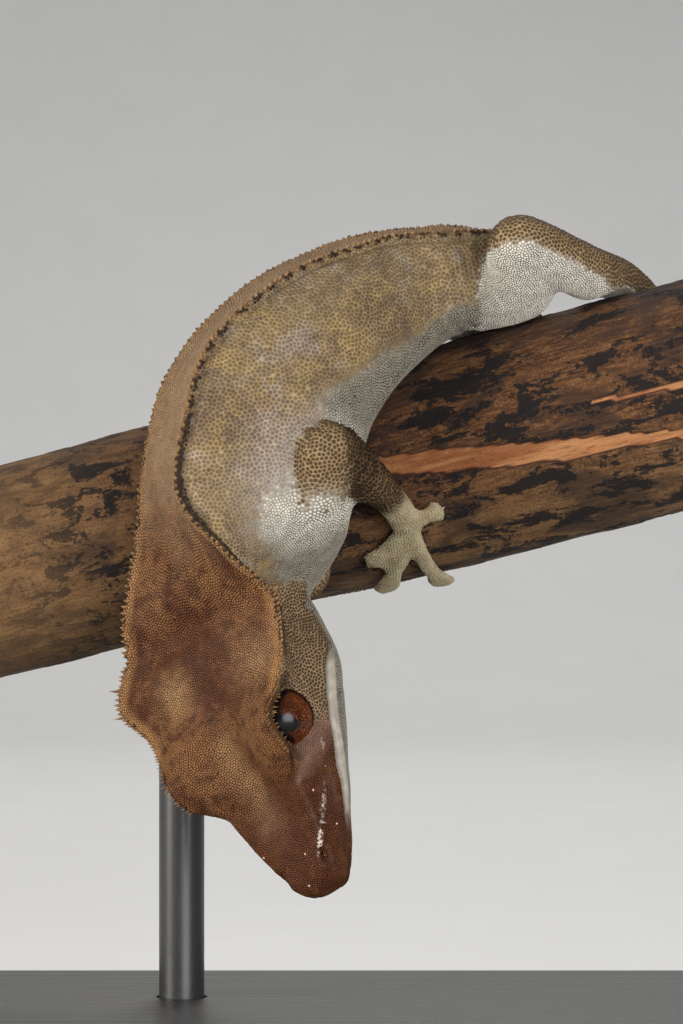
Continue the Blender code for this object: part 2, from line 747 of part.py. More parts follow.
def base():
    """The base: a rounded slab with a blind hole for the rod."""
    work = bmesh.new()
    corners = []
    for side_x, side_y, start in ((1, 1, 0), (-1, 1, 90), (-1, -1, 180), (1, -1, 270)):
        middle = (side_x * (BASE_LENGTH / 2 - BASE_CORNER), side_y * (BASE_DEPTH / 2 - BASE_CORNER))
        for step in range(7):
            turn = radians(start + step * 15)
            place = (middle[0] + BASE_CORNER * cos(turn), middle[1] + BASE_CORNER * sin(turn), 0.0)
            corners.append(work.verts.new(place))
    face = work.faces.new(corners)
    raised = bmesh.ops.extrude_face_region(work, geom=[face])
    lifted = [v for v in raised["geom"] if isinstance(v, bmesh.types.BMVert)]
    bmesh.ops.translate(work, verts=lifted, vec=(0, 0, BASE_HEIGHT))
    top = [e for e in work.edges if all(v.co.z > BASE_HEIGHT / 2 for v in e.verts)]
    bmesh.ops.bevel(work, geom=top, offset=BASE_BEVEL, segments=2, affect="EDGES", profile=0.5)
    bmesh.ops.recalc_face_normals(work, faces=work.faces)
    mesh = bpy.data.meshes.new("stand_base")
    work.to_mesh(mesh)
    work.free()
    slab = bpy.data.objects.new("stand_base", mesh)
    bpy.context.scene.collection.objects.link(slab)
    foot = BASE_HEIGHT - ROD_IN_BASE - GAP
    hole = cylinder("hole", (ROD_X, ROD_Y, foot), (ROD_X, ROD_Y, BASE_HEIGHT + 5), ROD_RADIUS + GAP, 24)
    return cut_with(slab, hole)


def rod():
    low = (ROD_X, ROD_Y, BASE_HEIGHT - ROD_IN_BASE)
    return cylinder("stand_rod", low, (ROD_X, ROD_Y, ROD_TOP), ROD_RADIUS, 24)


def eye_centre(side):
    return head_point(EYE_BACK, side * EYE_SIDE, EYE_RISE)


def main():
    for old in list(bpy.data.objects):
        bpy.data.objects.remove(old)
    named = animal_parts()
    for side, word in ((1, "left"), (-1, "right")):
        socket = sphere("socket", eye_centre(side), EYE_RADIUS + EYE_SOCKET_GAP, 8, 14)
        named["head"] = cut_with(named["head"], socket)
        ball = sphere("eye", eye_centre(side), EYE_RADIUS, 8, 14)
        finish_object(ball, f"eye_{word}", material("eye"))
    for name, piece in named.items():
        finish_object(piece, name, skin_of(name))
    finish_object(branch(), "perch_branch", material("bark"))
    finish_object(base(), "stand_base", material("base_wood"))
    finish_object(rod(), "stand_rod", material("rod_paint"))


main()
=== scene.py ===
"""Looks of the crested gecko display model: one sculpted skin under a coat of real scales, with
spines, claws and eyes, a bark-covered branch and the plain stand.

The shape tables and the lofts are the same as the model's own. Shapes are worked out in
millimetres and scaled to metres when an object is made.
"""

from functools import reduce
from math import cos, pi, radians, sin

import bmesh
import bpy
import numpy as np
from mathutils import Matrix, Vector
from mathutils.bvhtree import BVHTree
from mathutils.kdtree import KDTree

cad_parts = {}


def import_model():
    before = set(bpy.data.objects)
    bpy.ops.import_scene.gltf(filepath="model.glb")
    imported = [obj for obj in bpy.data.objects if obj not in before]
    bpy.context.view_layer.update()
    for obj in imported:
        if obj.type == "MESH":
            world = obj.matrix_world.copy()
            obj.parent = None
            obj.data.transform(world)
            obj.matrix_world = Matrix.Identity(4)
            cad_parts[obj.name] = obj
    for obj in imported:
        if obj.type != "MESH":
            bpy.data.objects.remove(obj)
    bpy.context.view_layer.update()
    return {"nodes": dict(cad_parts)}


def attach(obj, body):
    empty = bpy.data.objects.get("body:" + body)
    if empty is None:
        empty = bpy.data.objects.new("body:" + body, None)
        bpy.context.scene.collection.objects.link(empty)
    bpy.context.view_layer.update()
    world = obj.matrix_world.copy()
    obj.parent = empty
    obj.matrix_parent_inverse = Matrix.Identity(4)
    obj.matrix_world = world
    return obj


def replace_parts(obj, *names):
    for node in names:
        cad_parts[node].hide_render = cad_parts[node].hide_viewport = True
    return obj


MM = 0.001

# ---------------------------------------------------------------- sizes shared with the model

ROD_RADIUS = 2.2
ROD_X = -15.5
ROD_FOOT = 2.0
ROD_IN_BRANCH = 6.0
BRANCH_RADIUS = 10.3
BRANCH_TAPER = 0.006
BRANCH_ENDS = (-39.0, 39.0)
BRANCH_MIDDLE = np.array((0.0, 7.0, 55.7))
BRANCH_RUN = np.array((51.5, -17.0, 13.1))
BARK_WAVE = 0.22
SKIN_CLEARANCE = 0.4

SNOUT_TIP = np.array((-0.6, -16.0, 18.1))
HEAD_FORWARD = np.array((0.365, -0.333, -0.870))
HEAD_LEFT = np.array((0.702, -0.515, 0.492))
EYE_BACK, EYE_SIDE, EYE_RISE = 15.8, 4.9, 4.0
EYE_RADIUS = 2.9

HEAD_SECTIONS = (
    # back  crown  swell       top          side         cheek        jaw          keel         chin
    (0.7, 0.9, (0.15, 0.9), (0.3, 0.85), (0.45, 0.7), (0.5, 0.4), (0.45, 0.1), (0.3, -0.05), -0.1),
    (1.0, 1.8, (0.7, 1.75), (1.2, 1.6), (1.5, 1.1), (1.6, 0.3), (1.4, -0.5), (0.8, -1.0), -1.1),
    (1.8, 2.5, (1.1, 2.5), (1.9, 2.4), (2.3, 1.6), (2.5, 0.3), (2.1, -0.8), (1.3, -1.6), -1.8),
    (3.2, 2.9, (1.4, 2.9), (2.4, 2.8), (2.9, 1.8), (3.4, 0.3), (3.0, -1.0), (1.8, -2.2), -2.5),
    (6.5, 3.6, (2.0, 3.7), (3.6, 3.5), (4.2, 2.1), (4.8, 0.2), (4.3, -1.3), (2.6, -3.1), -3.6),
    (9.4, 3.8, (2.3, 4.1), (4.0, 4.7), (4.9, 2.8), (6.1, 0.1), (5.5, -1.5), (3.3, -3.8), -4.4),
    (10.5, 4.0, (2.6, 4.5), (4.2, 5.0), (5.3, 3.2), (6.4, 0.0), (5.8, -1.6), (3.5, -4.1), -4.6),
    (11.7, 4.4, (3.5, 6.2), (6.0, 6.7), (6.2, 4.0), (6.9, -0.1), (6.3, -1.7), (3.8, -4.3), -4.9),
    (14.4, 5.3, (4.0, 7.9), (7.0, 8.4), (7.2, 4.6), (7.7, -0.3), (7.2, -2.1), (4.5, -4.8), -5.4),
    (17.4, 5.8, (4.2, 7.4), (7.5, 6.8), (7.7, 3.6), (8.6, -0.6), (8.0, -2.5), (5.1, -5.3), -5.9),
    (20.4, 5.9, (4.4, 6.1), (8.6, 5.5), (8.3, 3.2), (9.2, -0.6), (8.7, -2.8), (5.7, -5.8), -6.4),
    (25.2, 6.2, (5.6, 6.1), (10.4, 5.6), (8.5, 3.0), (8.9, -0.6), (8.1, -3.2), (5.8, -6.0), -6.6),
)
BODY_SECTIONS = (
    # centre               lean  roll  half  above below crest
    ((-9.6, -8.0, 42.6), 85.0, 48.0, 7.5, 5.8, 6.0, 9.5),
    ((-10.1, -9.0, 45.8), 86.0, 45.0, 7.7, 5.9, 10.1, 8.6),
    ((-9.8, -9.8, 49.6), 87.0, 34.0, 8.0, 6.0, 10.3, 7.6),
    ((-8.9, -10.5, 53.6), 86.0, 18.5, 8.0, 8.1, 9.8, 6.0),
    ((-7.6, -10.0, 58.0), 76.0, 16.5, 8.5, 9.0, 9.5, 6.0),
    ((-6.4, -8.9, 62.6), 61.0, 13.0, 8.6, 8.9, 9.2, 5.8),
    ((-4.3, -7.2, 66.2), 42.0, 11.0, 8.6, 8.1, 8.6, 5.5),
    ((-1.7, -5.2, 68.7), 29.0, 9.0, 8.3, 7.6, 7.8, 5.2),
    ((1.3, -2.8, 70.8), 20.0, 8.5, 7.8, 7.0, 6.8, 4.9),
    ((4.8, -0.5, 72.8), 12.0, 8.0, 7.0, 6.3, 6.1, 4.5),
    ((8.4, 0.5, 74.1), 3.0, 7.0, 6.1, 5.4, 5.2, 4.0),
    ((13.6, 1.5, 74.9), -4.0, 5.0, 5.4, 4.4, 4.4, 3.4),
    ((17.0, 3.0, 74.0), -18.0, -4.0, 4.0, 3.2, 3.4, 2.4),
)
NECK_TURN = (0.84, 0.64, 0.38, 0.14)

# The tail's course over the branch: place along X, degrees round, half-width, half-height.
TAIL_ROOT, TAIL_ROOT_HALF = (13.6, 3.2, 74.0), (3.4, 3.2)
TAIL_COURSE = (
    (16.4, 32.0, 3.0, 2.9), (17.8, 58.0, 2.7, 2.7), (17.6, 84.0, 2.5, 2.5), (15.0, 107.0, 2.3, 2.3),
    (9.0, 123.0, 2.1, 2.1), (1.0, 130.0, 1.9, 1.9), (-8.0, 130.0, 1.6, 1.6), (-16.0, 126.0, 1.3, 1.25),
    (-22.5, 121.0, 1.2, 0.9), (-26.0, 118.5, 1.5, 0.75), (-28.3, 117.0, 1.1, 0.6),
)
LEGS = {
    "arm_left": dict(
        joints=((-6.5, -12.0, 52.5), (-2.2, -15.4, 55.0), (-1.6, -17.2, 58.4), (1.6, -12.8, 56.4), (4.6, -7.6, 54.0)),
        half=(3.0, 2.7, 2.7, 2.3, 1.5),
        palm=(7.9, -122.5),
        toes=((11.0, -119.0, 0.7), (7.4, -178.0, 1.2), (5.0, -146.0, 0.7), (2.4, -167.5, 0.9), (3.1, -141.0, 0.7)),
    ),
    "arm_right": dict(
        joints=((-6.5, -7.0, 53.8), (-4.2, -4.4, 50.6), (-3.2, -2.8, 47.4), (-6.2, -0.4, 45.0), (-8.4, 2.4, 43.6)),
        half=(2.8, 2.5, 2.2, 1.9, 1.4),
        palm=(-9.6, -158.0),
        toes=(
            (-5.6, -165.0, 0.7), (-7.2, -183.0, 0.7), (-10.0, -194.0, 0.7), (-13.0, -187.0, 0.7), (-13.4, -165.0, 0.7),
        ),
    ),
    "leg_left": dict(
        joints=((14.6, 0.5, 73.0), (16.8, -5.4, 75.2), (16.0, -10.5, 77.6), (22.4, -5.0, 75.3), (28.8, 5.0, 73.5)),
        half=(4.2, 3.5, 2.6, 2.6, 1.6),
        palm=(30.4, 52.0),
        toes=((26.0, 70.0, 0.7), (28.0, 92.0, 0.7), (31.6, 100.0, 0.7), (35.6, 88.0, 0.7), (36.2, 58.0, 0.7)),
    ),
    "leg_right": dict(
        joints=((13.5, 2.6, 73.0), (6.5, 9.4, 73.2), (-1.5, 15.0, 71.0), (1.2, 16.2, 67.0), (4.0, 15.4, 63.6)),
        half=(4.1, 3.6, 2.7, 2.4, 1.5),
        palm=(5.0, 64.0),
        toes=((0.0, 62.0, 0.7), (0.4, 84.0, 0.7), (3.6, 98.0, 0.7), (8.4, 95.0, 0.7), (10.4, 70.0, 0.7)),
    ),
}
PALM_HALF = (1.6, 0.95)
PALM_HEIGHT = 1.1
TOE_HALF = np.array(((0.9, 0.75), (0.85, 0.62), (0.95, 0.56), (1.3, 0.54), (1.15, 0.46), (0.55, 0.3)))
TOE_ALONG = (0.0, 0.42, 0.68, 0.86, 0.99, 1.07)
FLESH = (
    "head neck trunk tail_base tail_end upper_arm_left forearm_left hand_left upper_arm_right "
    "forearm_right hand_right thigh_left shin_left foot_left thigh_right shin_right foot_right"
).split()

# ---------------------------------------------------------------- sizes of the finish

SKIN_VOXEL = 0.39
COAT_DEPTH = 0.1  # how far the skin lies inside the model's solids
SIDES_EACH = 6  # of a scale, a spine or a claw
SCALE_PATCH = 0.0015  # half-width of a scale's patch in its bake map
MOST_SCALES = 10500  # in one piece
HONEYCOMB = 0.87  # the area of a scale, in squares of the spacing
TRIES = 8  # places tried for each scale
LEAST_GAP, PUSH = 0.70, 0.45  # shares of the spacing
ROOT_DEPTH = 0.03  # how far a scale's rim lies under the skin
SHOULDER_OUT, SHOULDER_UP = 0.74, 0.72  # shares of the scale's reach and rise
SCALE_SHAPE = ((1.0, 0.7, 0.0), (0.0, 0.75, 1.0))  # patch and height, as the materials read them
SPINE_SHAPE = ((1.0, 0.75, 0.4, 0.0), (0.0, 0.35, 0.7, 1.0))
SPINE_RINGS = ((-0.12, 1.0), (0.3, 0.72), (0.65, 0.4))  # place along a spine or claw, share of its radius
CLAW_LENGTH, CLAW_RADIUS = 0.26, 0.10
HEAD_END = 25.6  # where the head's scales end, along the body
BODY_LOOPS, TAIL_LOOPS, LEG_LOOPS, TOE_LOOPS = (300, 168), (220, 40), (80, 40), (24, 18)  # along, around
TUBE_END = (0.7, 0.55)  # a tube's round end: how far it goes on and its size, as shares of its half-width
EYE_LOOPS, BARK_LOOPS, BARK_END_LOOPS, ROD_LOOPS = (72, 96), (270, 200), 15, 96
ROD_CHAMFER = (0.2, 0.9)  # height in millimetres, share of the radius

MOUTH_LINE = np.array(
    ((0.6, -0.35), (2.0, -0.3), (5.0, -0.15), (7.4, 0.05), (12.5, 0.6), (17.8, 0.3), (20.2, -0.5), (21.6, -1.4))
)
NOSTRIL = (3.2, 2.8, 2.7)
SNOUT_RIDGE = ((15.6, -0.9, 5.5), (12.0, -0.5, 4.7), (8.0, -1.1, 3.7))
# the line of painted glints on the snout's side, which is also glossier there
GLINT_STREAK = ((12.7, 6.7, 2.1), (10.6, 5.7, 1.7), (8.35, 4.8, 2.0), (5.8, 3.75, 2.6), (3.5, 2.2, 2.9))
CROWN_SPOTS = (((22.6, -3.8, 6.0), 1.9, 1.0), ((21.0, 6.2, 5.8), 2.6, 0.8))  # place, size, share
SHOULDER, SHOULDER_SIZE = (-4.0, -14.0, 56.0), (7.0, 8.0, 6.5)
EAR = (25.4, 9.0, -1.6)
EAR_SIZE = (0.55, 1.15, 2.5)  # forward, up, out
EYE_OPENING = (-10.5, 51.5, 3.0, 60.0)  # degrees: middle and half of its height, then of its width
EYE_AXIS = (0.25, 0.85, 0.42)  # forward, out to the side, up
SOCKET_DEPTH = 0.4  # how far the skin lies under the eyeball
GAZE = (0.45, 0.54, 0.71)
CORNEA_RISE, CORNEA_SPREAD = 0.16, 34  # millimetres, degrees
CREST_START, CREST_STOP = 11.2, 4.0  # along the body from the snout, and short of the pelvis
CREST_ROWS = ((0.0, 1.0, 11, 99), (0.42, 0.62, 18.5, 99))  # shift, size, from, to
SPINE_STEP, BACK_STEP, ROW_LESS = 0.43, 0.66, 0.08  # on the head, behind it, less in the second row
LASHES = (-75.0, 100.0, 7.5)  # degrees round the eye's opening: first, last, step
LONG_SPINE = 1.15
LONG_SPINES = {1: (25.4,), -1: (23.5, 25.6)}
# Across the mouth, a nostril and the flank's fold: height, place and width of each bell.
LIPS = ((-0.32, 0.0, 0.16), (0.10, 0.55, 0.38), (0.09, -0.5, 0.35))
NOSTRIL_HOLE = ((-1.0, 0.0, 0.42), (0.05, 0.85, 0.3))
FOLD = ((-0.32, 0.0, 0.35), (0.12, 0.8, 0.4))
FLANK_FOLD = ((9.0, -5.6, 70.4), (6.6, -7.2, 67.8), (4.6, -9.0, 64.8), (3.4, -10.2, 62.4))
# Wrinkles in the groin and the armpit: middle, way across them, pitch, depth, fade, noise.
WRINKLES = (
    ((13.2, -3.6, 73.0), (1.0, -0.3, 0.25), 1.25, 0.11, (7.5, 3.5), (2.2, 9)),
    ((-1.6, -14.0, 52.0), (0.5, -0.2, 0.85), 1.0, 0.07, (5.0, 2.0), (2.0, 11)),
)
# The bare streaks on the branch: place along X, degrees round, half-width in degrees.
STREAKS = (
    (
        (5.0, -90.0, 5.0), (7.7, -92.0, 5.2), (15.5, -99.5, 6.0), (22.5, -106.3, 5.4), (29.4, -110.2, 3.2),
        (37.0, -116.0, 1.2),
    ),
    ((26.0, -85.5, 0.6), (30.5, -88.0, 1.6), (36.0, -89.5, 2.2), (40.0, -90.0, 1.6)),
)

# Camera, level with the middle of the branch, and the lights: place, aim, size, watts, colour.
CAMERA_AT = (0.0, -0.372, 0.053)
CAMERA_LENS = 139.2
SKY_COLOUR, SKY_STRENGTH = (0.80, 0.84, 0.88, 1.0), 0.16
LIGHTS = {
    "key": ((0.17, -0.40, 0.085), 0.055, 0.30, 3.0, (0.97, 0.98, 1.0)),
    "left_light": ((-0.46, -0.21, 0.16), 0.055, 0.30, 3.4, (1.0, 0.98, 0.95)),
    "rim": ((0.05, 0.50, 0.60), 0.06, 0.40, 2.2, (1.0, 1.0, 1.0)),
}

# Part numbers: 0 body, 1 tail, then 10 for each leg with its toes at 11 to 15, and so on.
BODY, TAIL = 0, 1
LEG_PART = {name: 10 * (i + 1) for i, name in enumerate(LEGS)}
SIDES = ((1, "left"), (-1, "right"))

rng = np.random.default_rng(20)


# ---------------------------------------------------------------- curves and frames


def unit(vector):
    vector = np.asarray(vector, float)
    return vector / np.maximum(np.linalg.norm(vector, axis=-1, keepdims=True), 1e-12)


def ramp(low, high, value):
    """0 below low, 1 above high, smooth between; low may be the greater."""
    t = np.clip((np.asarray(value, float) - low) / (high - low), 0.0, 1.0)
    return t * t * (3 - 2 * t)


def bell(value, width):
    return np.exp(-((value / width) ** 2))


def profile(value, rows):
    """The sum of bells, each with its height, place and width."""
    return sum(height * bell(value - middle, width) for height, middle, width in rows)


def most(*values):
    return reduce(np.maximum, values)


def far_from(points, middle, size=1.0):
    """Distance of each point from a place, in the sizes given."""
    return np.linalg.norm((points - np.asarray(middle)) / size, axis=1)


def round_turn(count):
    return np.arange(count) * 2 * pi / count


def smooth(knots, values, at):
    """A cubic through the values at the knots, read at the places asked for."""
    knots, values = np.asarray(knots, float), np.asarray(values, float)
    slope = np.gradient(values, knots, axis=0)
    i = np.clip(np.searchsorted(knots, at) - 1, 0, len(knots) - 2)
    step = (knots[i + 1] - knots[i])[:, None]
    t = (np.asarray(at, float) - knots[i])[:, None] / step
    flat, rise = (rows.reshape(len(knots), -1) for rows in (values, slope))
    read = (
        (1 + 2 * t) * (1 - t) ** 2 * flat[i]
        + t * (1 - t) ** 2 * step * rise[i]
        + t * t * (3 - 2 * t) * flat[i + 1]
        + t * t * (t - 1) * step * rise[i + 1]
    )
    return read.reshape((len(read),) + values.shape[1:])


def lengths_along(points):
    return np.concatenate([[0.0], np.cumsum(np.linalg.norm(np.diff(points, axis=0), axis=1))])


def closed_ring(corners, count):
    wrapped = np.concatenate([corners[:, -2:], corners, corners[:, :3]], axis=1)
    at = np.arange(count) * corners.shape[1] / count
    return smooth(np.arange(wrapped.shape[1]) - 2.0, wrapped.transpose(1, 0, 2), at).transpose(1, 0, 2)


HEAD_FORWARD = unit(HEAD_FORWARD)
HEAD_LEFT = unit(HEAD_LEFT - HEAD_FORWARD * (HEAD_LEFT @ HEAD_FORWARD))
HEAD_UP = np.cross(HEAD_FORWARD, HEAD_LEFT)


def head_point(back, left, up):
    return SNOUT_TIP - back * HEAD_FORWARD + left * HEAD_LEFT + up * HEAD_UP


def head_frame(points):
    """Back, left and up of points in the head's own frame."""
    off = points - SNOUT_TIP
    return -off @ HEAD_FORWARD, off @ HEAD_LEFT, off @ HEAD_UP


def near_line(points, line):
    """Distance of each point from a line of points."""
    line = np.asarray(line, float)
    best = np.full(len(points), 1e9)
    for a, b in zip(line[:-1], line[1:]):
        run = b - a
        t = np.clip(((points - a) @ run) / (run @ run), 0, 1)
        best = np.minimum(best, np.linalg.norm(points - a - t[:, None] * run, axis=1))
    return best


def near_head_line(points, spots):
    return near_line(points, [head_point(*spot) for spot in spots])


def lattice_noise(points, size, seed=0):
    """Smooth noise between about -1 and 1, with features of that size."""
    q = np.asarray(points, float) / size
    base = np.floor(q).astype(np.int64)
    f = q - base
    u = f * f * (3 - 2 * f)
    total = np.zeros(len(q))
    for corner in np.ndindex(2, 2, 2):
        cell = (base + corner).astype(np.uint64)
        mixed = cell[:, 0] * np.uint64(73856093) ^ cell[:, 1] * np.uint64(19349663)
        mixed = mixed ^ cell[:, 2] * np.uint64(83492791) ^ np.uint64(seed * 2654435761 + 97)
        mixed = (mixed ^ (mixed >> np.uint64(15))) * np.uint64(2246822519)
        mixed = mixed ^ (mixed >> np.uint64(13))
        away = f - corner
        dot = np.zeros(len(q))
        for axis in range(3):
            slant = ((mixed >> np.uint64(9 * axis)) & np.uint64(511)).astype(float) / 255.5 - 1
            dot += slant * away[:, axis]
        total += np.prod(np.where(corner, u, 1 - u), axis=1) * dot
    return total * 1.3


def waves(points, along, pitch, noise, bend):
    """Wrinkles across a way, bent by noise of a size and seed."""
    return np.sin(2 * pi * (along + bend * lattice_noise(points, *noise)) / pitch)


BRANCH_AXIS = unit(BRANCH_RUN)
BRANCH_UP = unit(np.array((0.0, 0.0, 1.0)) - BRANCH_AXIS * BRANCH_AXIS[2])
BRANCH_BACK = np.cross(BRANCH_UP, BRANCH_AXIS)


def branch_centre(x):
    """The branch's middle at a place or places along X."""
    return BRANCH_MIDDLE + BRANCH_AXIS * ((np.asarray(x)[..., None] - BRANCH_MIDDLE[0]) / BRANCH_AXIS[0])


def branch_radius(x):
    return BRANCH_RADIUS + BRANCH_TAPER * x


def on_branch(x, degrees_round, height):
    turn = radians(degrees_round)
    return branch_centre(x) + (branch_radius(x) + height) * (cos(turn) * BRANCH_UP + sin(turn) * BRANCH_BACK)


def out_of_branch(points):
    return unit(points - branch_centre(points[:, 0]))


# ---------------------------------------------------------------- meshes


def link(name, data):
    made = bpy.data.objects.new(name, data)
    bpy.context.scene.collection.objects.link(made)
    return made


def link_in_metres(name, mesh):
    place(mesh, positions(mesh) * MM)
    return link(name, mesh)


def quick_mesh(name, points, sizes, corners):
    """A mesh from arrays: points, the number of corners of each face, and the corners."""
    mesh = bpy.data.meshes.new(name)
    mesh.vertices.add(len(points))
    mesh.vertices.foreach_set("co", np.asarray(points, np.float32).ravel())
    mesh.loops.add(len(corners))
    mesh.loops.foreach_set("vertex_index", np.asarray(corners, np.int32))
    mesh.polygons.add(len(sizes))
    starts = np.concatenate([[0], np.cumsum(sizes)[:-1]])
    mesh.polygons.foreach_set("loop_start", starts.astype(np.int32))
    mesh.polygons.foreach_set("use_smooth", np.ones(len(sizes), bool))
    mesh.update(calc_edges=True)
    mesh.validate()
    return mesh


def solid_mesh(name, points, faces):
    """A smooth mesh from lists, with its faces turned outwards."""
    mesh = bpy.data.meshes.new(name)
    mesh.from_pydata(np.asarray(points).tolist(), [], faces)
    work = bmesh.new()
    work.from_mesh(mesh)
    bmesh.ops.recalc_face_normals(work, faces=work.faces)
    work.to_mesh(mesh)
    work.free()
    mesh.polygons.foreach_set("use_smooth", np.ones(len(mesh.polygons), bool))
    return mesh


def ring_faces(before, now):
    """Quads between two closed rings of point numbers."""
    return np.stack([before, np.roll(before, -1), np.roll(now, -1), now], 1)


def loft_faces(count, around, first=0):
    """Quads between rings, and a cap at each end, as lists of corners."""
    rings = first + np.arange(count * around).reshape(count, around)
    quads = np.concatenate([ring_faces(*pair) for pair in zip(rings[:-1], rings[1:])]).tolist()
    return [*quads, rings[0, ::-1].tolist(), rings[-1].tolist()]


def read_all(group, key, width, kind=np.float32):
    found = np.empty(len(group) * width, kind)
    group.foreach_get(key, found)
    return found.reshape(-1, width)


def positions(mesh):
    return read_all(mesh.vertices, "co", 3).astype(float)


def normals(mesh):
    return read_all(mesh.vertex_normals, "vector", 3).astype(float)


def edges(mesh):
    return read_all(mesh.edges, "vertices", 2, np.int32)


def triangles(mesh):
    mesh.calc_loop_triangles()
    return read_all(mesh.loop_triangles, "vertices", 3, np.int32)


def place(mesh, points):
    mesh.vertices.foreach_set("co", np.asarray(points, np.float32).ravel())
    mesh.update()


def eased(values, pairs, times, share=0.5):
    """Values at the points of a mesh, each moved towards the mean of its neighbours."""
    values = np.array(values, float)
    flat = values.reshape(len(values), -1)
    count = np.bincount(pairs.ravel(), minlength=len(flat)).clip(1)[:, None]
    for _ in range(times):
        total = np.zeros_like(flat)
        for column in range(flat.shape[1]):
            total[:, column] = np.bincount(pairs[:, 0], flat[pairs[:, 1], column], len(flat))
            total[:, column] += np.bincount(pairs[:, 1], flat[pairs[:, 0], column], len(flat))
        flat = flat + share * (total / count - flat)
    return flat.reshape(values.shape)


def relaxed(mesh, times):
    """Smooths a mesh with hardly any shrinking."""
    points, pairs = positions(mesh), edges(mesh)
    for _ in range(times):
        points = eased(eased(points, pairs, 1, 0.5), pairs, 1, -0.52)
    place(mesh, points)


def set_colours(mesh, name, *shares_):
    """A point attribute of up to three shares, which the materials read."""
    values = np.zeros((len(mesh.vertices), 4), np.float32)
    values[:, 3] = 1.0
    for column, share in enumerate(shares_):
        values[:, column] = share
    mesh.attributes.new(name, "FLOAT_COLOR", "POINT").data.foreach_set("color", values.ravel())


def tree_of(points):
    tree = KDTree(len(points))
    for i, p in enumerate(points.tolist()):
        tree.insert(p, i)
    tree.balance()
    return tree


def neighbours(points, count):
    tree = tree_of(points)
    return np.array([[f[1] for f in tree.find_n(p, count + 1)[1:]] for p in points.tolist()])


# ---------------------------------------------------------------- the animal's lofts


def body_half_section(half, above, below, crest):
    crown = above - 0.4
    return (
        (0.0, crown),
        (0.55 * crest, crown + 0.1),
        (crest, above),
        (0.82 * half + 0.12 * crest, 0.56 * above),
        (half, 0.0),
        (0.93 * half, -0.46 * below),
        (0.6 * half, -0.86 * below),
        (0.0, -below),
    )


def body_stations():
    """Distances along, centres, ways forward and up, and half-sections, snout to pelvis."""
    centres = [head_point(row[0], 0.0, 0.0) for row in HEAD_SECTIONS]
    ups = [HEAD_UP] * len(HEAD_SECTIONS)
    halves = [((0.0, row[1]), *row[2:-1], (0.0, row[-1])) for row in HEAD_SECTIONS]
    for centre, lean, roll, *sizes in BODY_SECTIONS:
        centres.append(np.array(centre))
        lean, roll = radians(lean), radians(roll)
        ups.append(np.array((-sin(lean) * cos(roll), -sin(roll), cos(lean) * cos(roll))))
        halves.append(body_half_section(*sizes))
    centres, halves = np.array(centres), np.array(halves)
    along = lengths_along(centres)
    forwards = -unit(np.gradient(centres, along, axis=0))
    first = len(HEAD_SECTIONS)
    forwards[:first] = HEAD_FORWARD
    for i, turn in enumerate(NECK_TURN):
        forwards[first + i] = unit((1 - turn) * forwards[first + i] + turn * HEAD_FORWARD)
    return along, centres, forwards, np.array(ups), halves


STATIONS = body_stations()


def body_at(at):
    """Centres, ways forward, up and left, and sections of the body at distances along it."""
    along, centres, forwards, ups, halves = STATIONS
    forward = unit(smooth(along, forwards, at))
    up = smooth(along, ups, at)
    up = unit(up - forward * (up * forward).sum(axis=1, keepdims=True))
    sections = np.concatenate([halves, halves[:, -2:0:-1] * (-1.0, 1.0)], axis=1)
    return smooth(along, centres, at), forward, up, np.cross(up, forward), smooth(along, sections, at)


def source(rings, along, lie, part):
    """A loft's rings with what is known at each point: part, distance along, turn and lie."""
    count, around = rings.shape[:2]
    known = np.zeros((count, around, 6))
    known[..., 0] = part
    known[..., 1] = along[:, None]
    known[..., 2] = np.arange(around) / around
    known[..., 3:] = lie[:, None]
    return rings, known


def body_source(samples, around):
    tip, end = STATIONS[0][1], STATIONS[0][-1]
    at = np.concatenate([np.linspace(0, tip, 4)[:-1], np.linspace(tip, end, samples)])
    centres, forward, up, left, corners = body_at(at)
    rings = closed_ring(corners, around)
    points = centres[:, None] + left[:, None] * rings[..., :1] + up[:, None] * rings[..., 1:]
    return source(points, at, -forward, BODY)


def tube_source(path, half, up, loops, part):
    """A round-ended tube along a path, with its half-widths and half-heights."""
    samples, around = loops
    along = lengths_along(path)
    at = along[-1] * (1 - np.cos(np.linspace(0, pi, samples))) / 2
    centres = smooth(along, path, at)
    sizes = np.maximum(smooth(along, np.array(half), at), 0.05)
    ways = smooth(along, np.broadcast_to(up, path.shape), at)
    tangents = unit(np.gradient(centres, axis=0))
    low = centres[:1] - tangents[:1] * sizes[:1].mean() * TUBE_END[0]
    high = centres[-1:] + tangents[-1:] * sizes[-1:].mean() * TUBE_END[0]
    centres = np.concatenate([low, centres, high])
    sizes = np.concatenate([sizes[:1] * TUBE_END[1], sizes, sizes[-1:] * TUBE_END[1]])
    tangents, ways, at = (np.concatenate([rows[:1], rows, rows[-1:]]) for rows in (tangents, ways, at))
    sides = unit(np.cross(tangents, ways))
    tops = np.cross(sides, tangents)
    turn = np.linspace(0, 2 * pi, around, endpoint=False)
    rings = (
        centres[:, None]
        + sides[:, None] * (sizes[:, :1] * np.cos(turn))[..., None]
        + tops[:, None] * (sizes[:, 1:] * np.sin(turn))[..., None]
    )
    return source(rings, at, tangents, part)


